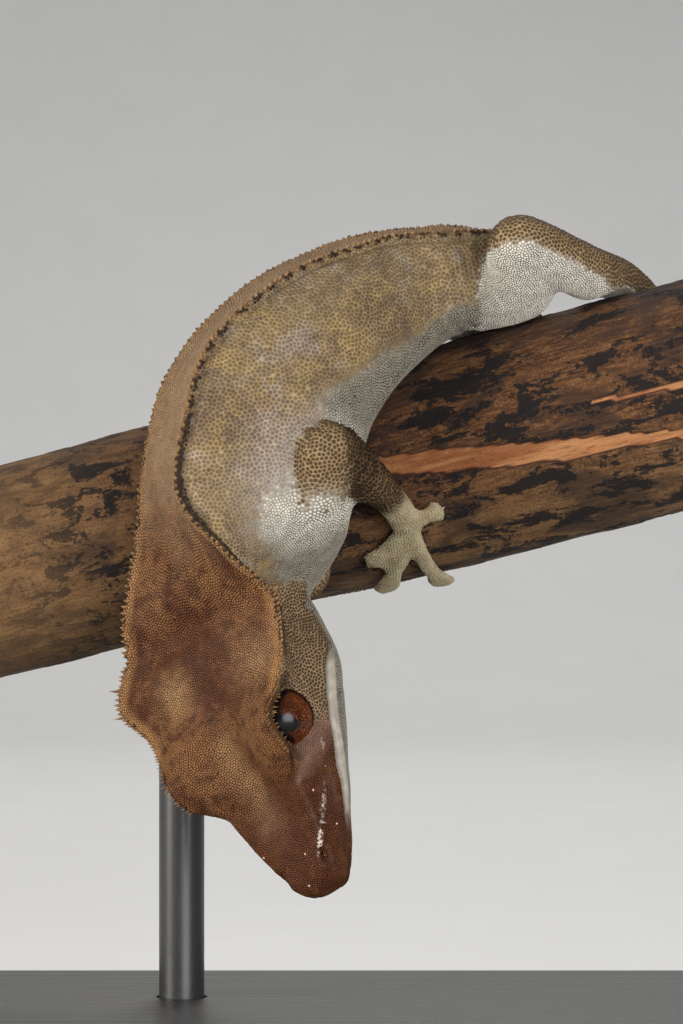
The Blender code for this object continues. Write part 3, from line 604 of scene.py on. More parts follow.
def animal_sources():
    """The lofts of body, tail, legs and toes, and each toe's path with its way out."""
    made = [body_source(*BODY_LOOPS)]
    course = [on_branch(x, turn, height + SKIN_CLEARANCE) for x, turn, _, height in TAIL_COURSE]
    path = np.array([TAIL_ROOT, *course])
    half = [TAIL_ROOT_HALF, *(row[2:] for row in TAIL_COURSE)]
    made.append(tube_source(path, half, out_of_branch(path), TAIL_LOOPS, TAIL))
    toes = []
    for name, spec in LEGS.items():
        part, palm = LEG_PART[name], on_branch(*spec["palm"], PALM_HEIGHT)
        path = np.array((*spec["joints"], palm))
        half = [*((size, size) for size in spec["half"]), PALM_HALF]
        out = unit(palm - branch_centre(spec["palm"][0]))
        made.append(tube_source(path, half, out, LEG_LOOPS, part))
        start = np.array((*spec["palm"], PALM_HEIGHT))
        for i, tip in enumerate(spec["toes"]):
            spots = [start + (np.array(tip) - start) * t for t in TOE_ALONG]
            path = np.array([on_branch(*spot) for spot in spots])
            outs = unit(path - np.array([branch_centre(spot[0]) for spot in spots]))
            made.append(tube_source(path, TOE_HALF, outs, TOE_LOOPS, part + 1 + i))
            toes.append((path, outs))
    return made, toes


# ---------------------------------------------------------------- places on the animal


def fused(sources):
    """One closed mesh round all the lofts."""
    faces, points, first = [], [], 0
    for rings, _ in sources:
        count, around = rings.shape[:2]
        faces += loft_faces(count, around, first)
        points.append(rings.reshape(-1, 3))
        first += count * around
    whole = link("lofts", solid_mesh("lofts", np.concatenate(points), faces))
    fuse = whole.modifiers.new("fuse", "REMESH")
    fuse.mode = "VOXEL"
    fuse.voxel_size = SKIN_VOXEL
    mesh = bpy.data.meshes.new_from_object(whole.evaluated_get(bpy.context.evaluated_depsgraph_get()))
    bpy.data.objects.remove(whole)
    return mesh


def clear_of_branch(points, height):
    """Points that lie in the branch, moved out to that height above it."""
    along = (points - BRANCH_MIDDLE) @ BRANCH_AXIS
    foot = BRANCH_MIDDLE + along[:, None] * BRANCH_AXIS
    out = points - foot
    reach = np.linalg.norm(out, axis=1)
    least = branch_radius(foot[:, 0]) + height
    return np.where((reach < least)[:, None], foot + out * (least / reach)[:, None], points)


def refined(mesh, wanted):
    """Divides the mesh's edges whose ends are both wanted."""
    work = bmesh.new()
    work.from_mesh(mesh)
    picked = [e for e in work.edges if wanted[e.verts[0].index] and wanted[e.verts[1].index]]
    bmesh.ops.subdivide_edges(work, edges=picked, cuts=1, use_grid_fill=True)
    work.to_mesh(mesh)
    work.free()


def eye_centre(side):
    return head_point(EYE_BACK, side * EYE_SIDE, EYE_RISE)


def eye_axes(way, side):
    """A way out of the eye, given as forward, out and up, with the ways up and across it."""
    forward, out, up = way
    axis = unit(forward * HEAD_FORWARD + side * out * HEAD_LEFT + up * HEAD_UP)
    high = unit(HEAD_UP - axis * (HEAD_UP @ axis))
    return axis, high, np.cross(axis, high) * side


def eye_angles(points, side):
    """How far, in openings, each direction from the eye's centre is from its middle."""
    axis, up, ahead_way = eye_axes(EYE_AXIS, side)
    off = points - eye_centre(side)
    reach = np.linalg.norm(off, axis=1)
    ahead = off @ axis
    rise = np.degrees(np.arctan2(off @ up, ahead))
    turn = np.degrees(np.arctan2(off @ ahead_way, ahead))
    middle, high, shift, wide = EYE_OPENING
    away = np.sqrt(((rise - middle) / high) ** 2 + ((turn - shift) / wide) ** 2)
    return np.where(ahead < 0, 9.0, away), reach, rise, turn


def read_known(points, sources):
    """What the nearest point of the lofts knows, for each point."""
    tree = tree_of(np.concatenate([rings.reshape(-1, 3) for rings, _ in sources]))
    known = np.concatenate([k.reshape(-1, k.shape[-1]) for _, k in sources])
    return known[np.array([tree.find(p)[1] for p in points.tolist()])]


def corner_of(known):
    """Around the body: 0 at the back's middle, 2 at a crest, 4 at the widest, 7 at the belly."""
    corner = known[:, 2] * 14
    return np.minimum(corner, 14 - corner)


def mouth_height(back):
    line = MOUTH_LINE
    return smooth(line[:, 0], line[:, 1:], np.clip(back, line[0, 0], line[-1, 0]))[:, 0]


def crest_line(samples, side):
    """Points along a crest from the brow to the pelvis, with the ways back, out and to the spine."""
    at = np.linspace(CREST_START, STATIONS[0][-1] - CREST_STOP, samples)
    centres, forward, up, left, corners = body_at(at)
    left, corner = left * side, corners[:, 2]
    points = centres + left * corner[:, :1] + up * corner[:, 1:]
    return at, points, -forward, unit(left + up * 0.5), unit(up - left * 0.5)


def nostril_reach(points, side):
    """Distance from a nostril, measured so that the opening is a slanting oval."""
    off = points - head_point(NOSTRIL[0], side * NOSTRIL[1], NOSTRIL[2])
    long = unit(HEAD_FORWARD * 0.8 - HEAD_UP * 0.6)
    return np.sqrt(np.maximum((off**2).sum(axis=1) - 0.6 * (off @ long) ** 2, 0))


def ear_point(side):
    return head_point(EAR[0], side * EAR[1], EAR[2])


def crest_reach(points):
    """Distance of each point from the nearer crest."""
    return np.minimum(*(near_line(points, crest_line(70, side)[1]) for side, _ in SIDES))


# ---------------------------------------------------------------- the skin


def carve(points, out, known):
    """Moves the skin's points into lids, lips, nostrils, ears, ridges and folds."""
    back, left, up = head_frame(points)
    part, along = known[:, 0], known[:, 1]
    body = part == BODY
    on_head = body & (along < 27)
    corner = corner_of(known)

    # soft unevenness of flesh, and the crests' ridges
    lift = 0.10 * lattice_noise(points, 5.0, 3) * (part < 10)
    lift += 0.035 * lattice_noise(points, 1.6, 5)
    ridge = crest_reach(points)
    behind = body * ramp(18, 22, along)
    lift += 0.22 * bell(ridge, 0.45) * body
    neck = np.interp(along, (21, 25, 34, 40), (0.0, 1.0, 1.0, 0.0))
    trench = bell(ridge - 0.72 - 0.25 * neck, 0.30 + 0.15 * neck)
    lift -= behind * ((0.30 + 0.25 * neck) * trench * (corner > 2))
    lift -= behind * 0.06 * bell(ridge - 1.2, 0.5)
    lift += 0.03 * np.cos(2 * pi * ridge / 0.5) * ramp(3.2, 1.6, ridge) * (corner < 2) * on_head * ramp(18, 16, back)

    # mouth line with its lips and lip plates, nostrils and ears
    below = up - mouth_height(back)
    fade = ramp(22.2, 21.2, back) * (on_head & (corner > 2.2) & (corner < 6.2) & (back < 23))
    plates = np.abs((back / 1.05 + 0.15 * lattice_noise(points, 3.0, 8)) % 1.0 - 0.5)
    lift += fade * profile(below, LIPS)
    lift -= fade * 0.10 * ramp(0.44, 0.5, plates) * ramp(0.95, 0.7, np.abs(below + 0.05))
    for side, _ in SIDES:
        lift += on_head * profile(nostril_reach(points, side), NOSTRIL_HOLE)
        off = points - ear_point(side)
        ways = zip((HEAD_FORWARD, HEAD_UP, HEAD_LEFT), EAR_SIZE)
        ear = np.sqrt(sum((off @ way / size) ** 2 for way, size in ways))
        lift += on_head * (-0.9 * ramp(1.15, 0.55, ear) + 0.1 * bell(ear - 1.5, 0.35))

    # folds: across the forearm, along the flank, in the armpit and the groin
    elbow = lengths_along(np.array(LEGS["arm_left"]["joints"]))[2]
    lines = waves(points, along, 1.3, (1.8, 12), 0.6) * (part == LEG_PART["arm_left"])
    lift += 0.12 * lines * ramp(elbow - 1.5, elbow, along) * ramp(elbow + 9.0, elbow + 6.0, along)
    lift += body * profile(near_line(points, FLANK_FOLD), FOLD)
    for middle, way, pitch, depth, spread, noise in WRINKLES:
        lines = waves(points, points @ unit(way), pitch, noise, 0.4)
        lift += depth * lines * ramp(*spread, far_from(points, middle)) * body
    moved = points + out * lift[:, None]

    # eyes: the opening, a thin rolled lid round it, and fine rings of wrinkles on the brow
    inside = EYE_RADIUS - SOCKET_DEPTH
    for side, _ in SIDES:
        away, reach, rise, _ = eye_angles(moved, side)
        near = on_head & (reach < 6.5) & (side * left > 0)
        lid = EYE_RADIUS + 0.17 + 0.22 * ramp(15, 40, rise)
        wanted = inside + (lid - inside) * ramp(0.975, 1.03, away)
        outer = np.maximum(reach, lid + 0.12 * bell(away - 1.13, 0.08))
        wanted = np.where(away > 1.02, outer, np.minimum(wanted, np.maximum(reach, lid)))
        weight = near * ramp(1.75, 1.2, away)
        moved = moved + (moved - eye_centre(side)) * (weight * (wanted / np.maximum(reach, 0.5) - 1))[:, None]
        rings = np.cos(2 * pi * (away * 2.9) / 0.62) * near
        lift = 0.05 * rings * ramp(1.25, 1.5, away) * ramp(2.9, 2.2, away)
        moved = moved + out * (lift * ramp(-30, 10, rise))[:, None]
    return moved


def crest_shade_patches(points, along, corner):
    """Painted shade of each crest on the flank's side: black-brown patches along it, joined in one line on the neck.
    """
    ridge = crest_reach(points)
    beat = np.sin(2 * pi * along / 1.3 + 2.5 * lattice_noise(points, 2.4, 23))
    gaps = ramp(-0.2, 0.15, beat + np.interp(along, (22, 38, 46, 52), (1.8, 1.8, 0.6, 0.1)))
    wide = np.interp(along, (18, 21, 30, 36, 44, 70), (0.5, 0.95, 0.95, 0.75, 0.50, 0.40))
    return ramp(wide + 0.06, wide - 0.06, ridge) * (corner > 1.97) * ramp(18, 21, along) * gaps


def shares(points, out, known):
    """The markings, painted shade and glints among them: how much of each there is at every point, and the scales'
    spacing.
    """
    back, left, up = head_frame(points)
    part, along = known[:, 0], known[:, 1]
    body, tail, limb = part == BODY, part == TAIL, (part >= LEG_PART["arm_left"]) * 1.0
    head = body & (along < 26)
    corner = corner_of(known)
    blur, wide = lattice_noise(points, 2.6, 21), lattice_noise(points, 7.0, 22)
    below = up - mouth_height(back)

    # brown crown: the top of the head and neck between the crests, and the snout above the lip
    crown = ramp(2.14, 2.02, corner) * ramp(42.0, 32.0, along + 2.5 * blur)
    snout = ramp(14.6, 12.6, along) * ramp(-0.25, 0.05, below + 2.2 * ramp(7.5, 4.5, back))
    brow = ramp(2.8, 2.5, corner) * ramp(16.5, 15.0, along) * ramp(2.0, 3.0, up)
    crown = body * most(crown, snout, brow)
    cheek = body * ramp(2.02, 2.14, corner) * ramp(30, 27, along) * ramp(-0.2, 0.1, below) * (1 - crown)

    # pale underside, pale feet and the dark forearm
    steps = (0, 20, 25, 30, 36, 42, 50, 60, 75, 95)
    edge = np.interp(along, steps, (4.3, 4.5, 4.2, 3.2, 3.0, 3.9, 4.6, 4.9, 4.7, 4.5))
    soft = np.interp(along, (26, 32, 42, 50), (0.8, 2.0, 1.7, 0.8))
    pale = body * ramp(edge - 0.4, edge - 0.4 + soft, corner + 0.35 * blur) * ramp(4.0, 9.0, along)
    chin = np.maximum(ramp(5.0, 8.0, back), ramp(-2.0, -3.0, below))
    jaw = head * ramp(-0.1, -0.3, below) * ramp(23.5, 21.5, along) * chin
    pale = np.maximum(pale, jaw) * np.where(cheek > 0.5, 0.0, 1.0)
    foot, dark = np.zeros(len(points)), np.zeros(len(points))
    for name, base in LEG_PART.items():
        mine, leg = part == base, (part >= base) & (part < base + 10)
        far = lengths_along(np.array(LEGS[name]["joints"]))
        foot = np.maximum(foot, leg * np.where(mine, ramp(far[4] - 1.2, far[4] + 1.2, along), 1.0))
        if name.startswith("leg"):
            facing = out @ unit((0.0, -0.5, -0.6) if name == "leg_left" else (-0.2, 0.6, -0.6))
            shin = ramp(far[2] - 4.0, far[2] + 1.0, along)
            under = ramp(-0.55 + 1.07 * shin, -0.3 + 1.10 * shin, facing + 0.1 * blur)
        else:
            under = ramp(-0.25, -0.75, out[:, 2]) * ramp(far[2] - 1.5, far[2] - 3.5, along)
            dark = np.maximum(dark, mine * ramp(far[2] + 0.2, far[2] + 2.0, along + 0.6 * blur))
        pale = np.maximum(pale, mine * under)
    # darker flank in front of the thigh: partly painted shade where the thigh meets the body, partly darker skin
    dark = np.maximum(dark, body * 0.38 * ramp(80.0, 90.0, along + 1.2 * blur) * (1 - pale))
    pale = np.maximum(pale, tail * ramp(0.1, -0.6, (out * out_of_branch(points)).sum(axis=1)) * 0.8)

    # lips, crest edges, yellow and light clouds, and the wet snout with its painted glints
    lip = head * ramp(20.8, 19.0, back) * ramp(4.5, 8.5, back) * ramp(-0.02, -0.12, below) * ramp(-1.25, -1.05, below)
    width = np.interp(along, (18, 24, 40, 60), (1.1, 1.6, 1.2, 0.9))
    crest = ramp(1.0, 0.3, (crest_reach(points) + 0.25 * blur) / width)
    crest = body * crest * ramp(2.12, 2.02, corner) * ramp(15.5, 18.0, along)
    # painted shade beside the crests
    painted_shade = body * crest_shade_patches(points, along, corner)
    yellow = body * ramp(-0.15, 0.6, wide + 0.35 * blur) * ramp(38, 46, along) * ramp(1.6, 2.6, corner)
    light = most(
        *(share * bell(far_from(points, head_point(*spot)), size) for spot, size, share in CROWN_SPOTS),
        0.8 * bell(near_head_line(points, SNOUT_RIDGE), 1.3),
    )
    shoulder = body * ramp(1.25, 0.6, far_from(points, SHOULDER, SHOULDER_SIZE) + 0.2 * blur)
    light = np.where(head, light, np.maximum(limb, shoulder))
    cheek, corner = np.maximum(cheek, limb * (1 - pale)), np.where(body, corner, 7.0)
    film = 0.7 * ramp(13.0, 8.0, back) * ramp(-0.6, 0.4, below)
    # wet snout: glossier, with painted glints along the streak
    wet_and_glint = head * np.maximum(film, bell(near_head_line(points, GLINT_STREAK), 0.55) * (1.0 + 0.5 * blur))

    # round the eyes, in the mouth and the nostrils: the rims' own colour, and painted shade in the mouth's crease, in
    # the nostrils and under the brow
    rim = np.zeros(len(points))
    mouth = head * bell(below, 0.12) * ramp(22.2, 21.4, back)
    for side, _ in SIDES:
        away, reach, rise, turn = eye_angles(points, side)
        here = side * left > 0
        ring = 0.5 * bell(away - 1.08, 0.06) * ramp(15, 0, rise)
        patch = ramp(1.7, 1.15, away) * ramp(12, 35, turn) * ramp(8, -15, rise)
        rim = np.maximum(rim, head * here * np.maximum(ring, patch) * (reach < 6))
        mouth = np.maximum(mouth, head * ramp(0.72, 0.48, nostril_reach(points, side)))
        # painted shade under the brow's overhang above each eye, and round the lower edge of the opening
        eave_shade = ramp(8, 22, rise) * ramp(3.2, 2.7, corner) * (corner > 2.1) * ramp(1.6, 1.3, away) * here
        eave_shade = np.maximum(eave_shade, ramp(-30, -5, rise) * ramp(1.05, 1.0, away) * (reach < 5.0) * here)
        painted_shade = np.maximum(painted_shade, head * eave_shade)
    cells = np.where(crown > 0.5, 0.6 * ramp(0.0, 0.4, wide) * head * ramp(16, 18, along), (1 - pale) * (1 - foot))
    cells = cells * np.where((corner < 2.02) & (along > 30), 0.35, 1.0)

    # spacing of the scales, in millimetres
    space = np.interp(along, (0, 10, 22, 30, 40, 95), (0.235, 0.25, 0.26, 0.30, 0.42, 0.43))
    space = np.where(corner < 2.1, np.minimum(space, 0.31), space) - 0.14 * pale * ramp(24, 38, along)
    space = np.where(body & (cheek > 0.5), 0.36, space)
    space = np.where(tail, 0.47, space)
    for name, base in LEG_PART.items():
        arm = name.startswith("arm")
        size = (0.55 if arm else 0.42) - 0.12 * arm * ramp(5, 9, along) - (0.18 if arm else 0.16) * pale
        space = np.where(part == base, size * (1 - foot) + 0.32 * foot, space)
        space = np.where((part > base) & (part < base + 10), 0.30, space)
    space = np.where(rim > 0.3, np.minimum(space, 0.23), space)
    return dict(
        crown=crown, pale=pale, foot=foot, lip=lip, crest=crest, dark=dark, yellow=yellow, light=light,
        wet_and_glint=wet_and_glint, rim=rim, mouth=mouth, corner=corner, cheek=cheek, painted_shade=painted_shade, cells=cells, space=space,
    )


MARK_SETS = {
    "marks_a": ("crown", "pale", "foot"),
    "marks_b": ("lip", "crest", "dark"),
    "marks_c": ("yellow", "light", "wet_and_glint"),
    "marks_d": ("rim", "mouth", "corner"),
    "marks_e": ("cheek", "painted_shade", "cells"),
}


def set_marks(mesh, marks, each=1):
    """The markings as attributes, with each value given to that many points; corners run to 7."""
    for label, names in MARK_SETS.items():
        columns = (np.repeat(marks[m] / (7.0 if m == "corner" else 1.0), each) for m in names)
        set_colours(mesh, label, *columns)


def make_skin(sources):
    mesh = fused(sources)
    relaxed(mesh, 5)
    place(mesh, clear_of_branch(positions(mesh), BARK_WAVE + SKIN_CLEARANCE))
    # finer faces for the lips, lids, nostrils and ears, once and then closer in
    for lips, lids, nostril, ear in ((1.3, 1.9, 1.6, 2.2), (0.45, 1.35, 0.9, 0)):
        points = positions(mesh)
        back, left, up = head_frame(points)
        on_head = (back < 23.5) & (np.abs(left) < 13) & (np.abs(up) < 11)
        wanted = on_head & (np.abs(up - mouth_height(back)) < lips)
        for side, _ in SIDES:
            away, reach, _, _ = eye_angles(points, side)
            wanted |= (away < lids) & (reach < 5.5)
            wanted |= nostril_reach(points, side) < nostril
            wanted |= far_from(points, ear_point(side)) < ear
        refined(mesh, wanted)
        relaxed(mesh, 1)
    known = read_known(positions(mesh), sources)
    out = normals(mesh)
    place(mesh, carve(positions(mesh) - out * COAT_DEPTH, out, known))
    marks = shares(positions(mesh), normals(mesh), known)
    for name in ("crown", "pale", "foot", "dark", "yellow"):
        marks[name] = eased(marks[name], edges(mesh), 3)
    set_marks(mesh, marks)
    mesh.polygons.foreach_set("use_smooth", np.ones(len(mesh.polygons), bool))
    return mesh, known, marks


# ---------------------------------------------------------------- the coat of scales


class Surface:
    """The skin as something that points can be dropped on and read from."""

    def __init__(self, mesh):
        self.points, self.out, self.tris = positions(mesh), normals(mesh), triangles(mesh)
        self.tree = BVHTree.FromPolygons(self.points.tolist(), self.tris.tolist())

    def drop(self, points):
        found = [self.tree.find_nearest(p) for p in points.tolist()]
        return np.array([tuple(f[0]) for f in found]), np.array([f[2] for f in found])

    def shares_in(self, on, face):
        a, b, c = (self.points[self.tris[face, i]] for i in range(3))
        e1, e2, off = b - a, c - a, on - a
        d11, d12, d22 = (e1 * e1).sum(1), (e1 * e2).sum(1), (e2 * e2).sum(1)
        o1, o2 = (off * e1).sum(1), (off * e2).sum(1)
        scale = np.maximum(d11 * d22 - d12 * d12, 1e-15)
        v, w = (d22 * o1 - d12 * o2) / scale, (d11 * o2 - d12 * o1) / scale
        return np.clip(np.stack([1 - v - w, v, w], 1), 0, 1)

    def read(self, values, on, face):
        parts = self.shares_in(on, face)
        parts = parts / parts.sum(1, keepdims=True)
        values = np.asarray(values, float)
        flat = values.reshape(len(values), -1)
        got = sum(parts[:, i : i + 1] * flat[self.tris[face, i]] for i in range(3))
        return got.reshape((len(on),) + values.shape[1:])


def scattered(surface, space, times):
    """Points spread over the surface about the wanted spacing apart, nearly as a honeycomb."""
    a, b, c = (surface.points[surface.tris[:, i]] for i in range(3))
    area = np.linalg.norm(np.cross(b - a, c - a), axis=1) / 2
    need = area / (HONEYCOMB * space[surface.tris].mean(axis=1) ** 2)
    total = int(need.sum() * TRIES)
    face = rng.choice(len(need), total, p=need / need.sum())
    r1, r2 = np.sqrt(rng.random(total)), rng.random(total)
    on = a[face] * (1 - r1)[:, None] + b[face] * (r1 * (1 - r2))[:, None] + c[face] * (r1 * r2)[:, None]
    gap = surface.read(space, on, face)
    tree = tree_of(on)
    gone = np.zeros(total, bool)
    kept = []
    for i, p in enumerate(on.tolist()):
        if not gone[i]:
            kept.append(i)
            gone[[j for _, j, _ in tree.find_range(p, LEAST_GAP * gap[i])]] = True
    on, face = on[kept], face[kept]
    for _ in range(times):
        gap = surface.read(space, on, face)
        close = neighbours(on, 6)
        off = on[:, None] - on[close]
        far = np.linalg.norm(off, axis=2)
        ideal = (gap[:, None] + gap[close]) / 2 * 1.02
        push = np.clip(1 - far / ideal, -0.12, 0.6)[..., None] * off / np.maximum(far, 1e-6)[..., None]
        on, face = surface.drop(on + PUSH * (push * ideal[..., None]).sum(axis=1))
    return on, face


def scale_outlines(on, out, lie, gap):
    """Each scale's outline: the distance from its middle in SIDES_EACH ways, inside its cell."""
    across = unit(np.cross(out, lie))
    ahead = np.cross(across, out)
    close = neighbours(on, 8)
    off = on[close] - on[:, None]
    x, y = (off * ahead[:, None]).sum(2), (off * across[:, None]).sum(2)
    far = np.hypot(x, y)
    share = gap[:, None] / (gap[:, None] + gap[close])
    reach = np.repeat(gap[:, None] * 0.72, SIDES_EACH, axis=1)
    for k, turn in enumerate(round_turn(SIDES_EACH)):
        facing = (x * cos(turn) + y * sin(turn)) / np.maximum(far, 1e-6)
        edge = np.where(facing > 0.3, share * far / np.maximum(facing, 0.3), 9.0).min(axis=1)
        reach[:, k] = np.clip(np.minimum(reach[:, k], edge), 0.3 * gap, None)
    return reach, ahead, across


def spokes_round(first, second):
    """For each row, SIDES_EACH unit ways in the plane of its two ways."""
    turn = round_turn(SIDES_EACH)
    return first[:, None] * np.cos(turn)[None, :, None] + second[:, None] * np.sin(turn)[None, :, None]


def studs(name, rings, tips):
    """One joined mesh of small bodies, each a stack of rings closed by a tip, and its corners."""
    count, sides = len(tips), SIDES_EACH
    points = np.concatenate([*rings, tips[:, None]], axis=1).reshape(-1, 3)
    loops = np.arange(len(rings) * sides).reshape(-1, sides)
    quads = [ring_faces(*pair) for pair in zip(loops[:-1], loops[1:])]
    fan = np.stack([loops[-1], np.roll(loops[-1], -1), np.full(sides, loops.size)], 1)
    pattern = np.concatenate([*(f.ravel() for f in quads), fan.ravel()])
    sizes = np.tile(np.repeat([4, 3], [len(quads) * sides, sides]), count)
    corners = (pattern[None] + (loops.size + 1) * np.arange(count)[:, None]).ravel()
    return quick_mesh(name, points, sizes, corners), corners


def add_map(mesh, corners, uv, shape, tone, dot):
    """The bake map, with a patch for each body at its place, and what its own colour varies by."""
    rings = len(shape[0]) - 1
    counts = [SIDES_EACH] * rings + [1]
    spread, heights = (np.repeat(row, counts) for row in shape)
    angle = np.concatenate([*[round_turn(SIDES_EACH)] * rings, [0.0]])
    patch = np.stack([spread * np.cos(angle), spread * np.sin(angle)], 1) * SCALE_PATCH
    flat = (uv[:, None] + patch[None]).reshape(-1, 2)
    mesh.uv_layers.new(name="OFBake").data.foreach_set("uv", flat[corners].astype(np.float32).ravel())
    each = sum(counts)
    set_colours(mesh, "scale", np.repeat(tone, each), np.tile(heights, len(uv)), np.repeat(dot, each))


def bake_places(known, legs_base):
    """Each scale's place in its piece's map: along and round the loft that it grew on."""
    part, along, turn = known[:, 0], known[:, 1], known[:, 2]
    places = np.zeros((len(part), 2))
    for value in np.unique(part):
        mine = part == value
        low, high = along[mine].min(), along[mine].max()
        share = (along[mine] - low) / max(high - low, 1e-6)
        if legs_base is None or value == legs_base:
            u, v = 0.01 + (0.98 if legs_base is None else 0.6) * share, 0.01 + 0.98 * turn[mine]
        else:
            row = int(value - legs_base) - 1
            u, v = 0.64 + 0.35 * share, 0.01 + 0.2 * row + 0.18 * turn[mine]
        places[mine] = np.stack([u, v], 1)
    return places


def make_coat(mesh, known, marks):
    """The scales, in pieces that follow the parts of the body."""
    surface = Surface(mesh)
    space = eased(marks["space"], edges(mesh), 4)
    on, face = scattered(surface, space, 8)
    count = len(on)
    gap = surface.read(space, on, face)
    out = unit(surface.read(surface.out, on, face))
    facts = known[surface.tris[face, 0]]
    part, along = facts[:, 0], facts[:, 1]
    got = {name: surface.read(values, on, face) for name, values in marks.items()}
    lie = unit(surface.read(known[:, 3:], on, face))

    # one tone for each scale: dark or pale, and a few with a painted glint
    got["cells"] = ramp(0.42, 0.58, got["cells"] + 0.35 * (rng.random(count) - 0.5)) * np.maximum(got["cells"], 0.6)
    got["pale"] = ramp(0.30, 0.70, got["pale"] + 0.3 * (rng.random(count) - 0.5))
    # painted glints: uneven along the streak, and a few lone bright scales on the wet snout
    got["wet_and_glint"] = np.where(got["wet_and_glint"] > 0.72, got["wet_and_glint"] * rng.uniform(0.62, 1.12, count), got["wet_and_glint"])
    got["wet_and_glint"] = np.where((got["wet_and_glint"] > 0.55) & (rng.random(count) < 0.006), 0.95, got["wet_and_glint"])
    # painted shade beside the crests, read again at each scale
    patches = crest_shade_patches(on, along, corner_of(facts))
    got["painted_shade"] = np.where((part == BODY) & (along > 21), patches, got["painted_shade"])
    reach, ahead, across = scale_outlines(on, out, lie, gap)

    # no scale on the eyeball, in the mouth line or the nostrils, or on the lip
    bare = (got["mouth"] > 0.6) | (got["lip"] > 0.45)
    for side, _ in SIDES:
        away, far, _, _ = eye_angles(on, side)
        bare |= (away < 1.0) & (far < EYE_RADIUS + 0.8)
        bare |= nostril_reach(on, side) < 0.45
    rise = gap * (0.27 - 0.06 * got["pale"] - 0.05 * got["foot"] - 0.10 * got["wet_and_glint"] + 0.10 * got["crest"])
    rise = rise * (0.85 + 0.3 * rng.random(count))
    reach = reach * (0.94 - 0.03 * got["pale"])[:, None]
    lean = 0.12 * gap * (1 - got["foot"])
    tone = rng.random(count)
    dot = np.where(part >= LEG_PART["arm_left"], 1.7, np.where(got["crown"] > 0.5, 0.62, 1.75))
    dot = dot + 0.6 * (rng.random(count) - 0.5)
    ways = spokes_round(ahead, across)
    rim = on[:, None] + ways * reach[..., None] - out[:, None] * ROOT_DEPTH
    shoulder = on[:, None] + ways * (reach * SHOULDER_OUT)[..., None]
    shoulder = shoulder + out[:, None] * (rise * SHOULDER_UP)[:, None, None] + (ahead * (lean * 0.5)[:, None])[:, None]
    top = on + out * rise[:, None] + ahead * lean[:, None]

    body = part == BODY
    groups = [("head", body & (along < HEAD_END), None), ("body", body & (along >= HEAD_END), None)]
    groups.append(("tail", part == TAIL, None))
    groups += [(name, (part >= base) & (part < base + 10), base) for name, base in LEG_PART.items()]
    pieces = []
    for name, mine, base in groups:
        index = np.nonzero(mine & ~bare)[0]
        index = index[np.argsort(along[index], kind="stable")]
        bands = max(1, -(-len(index) // MOST_SCALES))
        for number, chosen in enumerate(np.array_split(index, bands)):
            label = f"scales_{name}" + (f"_{number + 1}" if bands > 1 else "")
            piece, corners = studs(label, [rim[chosen], shoulder[chosen]], top[chosen])
            places = bake_places(facts[chosen], base)
            set_marks(piece, {m: values[chosen] for m, values in got.items()}, 2 * SIDES_EACH + 1)
            add_map(piece, corners, places, SCALE_SHAPE, tone[chosen], dot[chosen])
            pieces.append(link_in_metres(label, piece))
    return surface, pieces


# ---------------------------------------------------------------- spines and claws


def cones(name, feet, ways, lengths, radii, bends):
    """Curved cones joined in one mesh: feet, directions, lengths, foot radii and bends."""
    feet, ways, bends = (np.asarray(x, float) for x in (feet, unit(ways), bends))
    side = unit(np.cross(ways, bends + 1e-6))
    spoke = spokes_round(side, np.cross(side, ways))
    rings = []
    for t, size in SPINE_RINGS:
        middle = feet + ways * (lengths * t)[:, None] + bends * (lengths * max(t, 0) ** 2)[:, None]
        rings.append(middle[:, None] + spoke * (radii * size)[:, None, None])
    return studs(name, rings, feet + ways * lengths[:, None] + bends * lengths[:, None])


def spine_length(along):
    """Length of the crest's spines: slim on the brow, long at the head's corner, short behind."""
    steps = (11, 13, 16.5, 18.5, 21, 24, 27, 33, 45, 95)
    return np.interp(along, steps, (0.4, 0.55, 0.5, 0.3, 0.38, 0.52, 0.42, 0.42, 0.45, 0.4))


def lashes(surface, side):
    """The lashes, on the lid from behind the eye round the brow's side to its front."""
    axis, up, ahead = eye_axes(EYE_AXIS, side)
    round_way = np.radians(np.arange(*LASHES))
    round_way = round_way + 0.045 * rng.normal(size=len(round_way))
    middle, high, shift, wide = EYE_OPENING
    rise = np.radians(middle + 1.05 * high * np.cos(round_way))
    turn = np.radians(shift + 1.05 * wide * np.sin(round_way))
    way = unit(axis + np.tan(rise)[:, None] * up + np.tan(turn)[:, None] * ahead)
    on, _ = surface.drop(eye_centre(side) + way * (EYE_RADIUS + 0.35))
    inward = unit(axis - way * (way @ axis)[:, None])
    size = 0.45 + 0.75 * rng.random(len(on))
    value = np.stack([14 + round_way, np.full(len(on), 0.5 + side * 0.36), np.full(len(on), 0.6)], 1)
    return on, unit(inward + 0.35 * way), 0.50 * size, 0.06 + 0.09 * size, inward * 0.15, value


def spine_places(run, at, row):
    """Uneven steps along a crest, closer on the head than behind it."""
    steps = [0.3 * row]
    while steps[-1] < run[-1]:
        step = SPINE_STEP if np.interp(steps[-1], run, at) < 28 else BACK_STEP - ROW_LESS * row
        steps.append(steps[-1] + step * (0.85 + 0.3 * rng.random()))
    return np.array(steps[:-1])


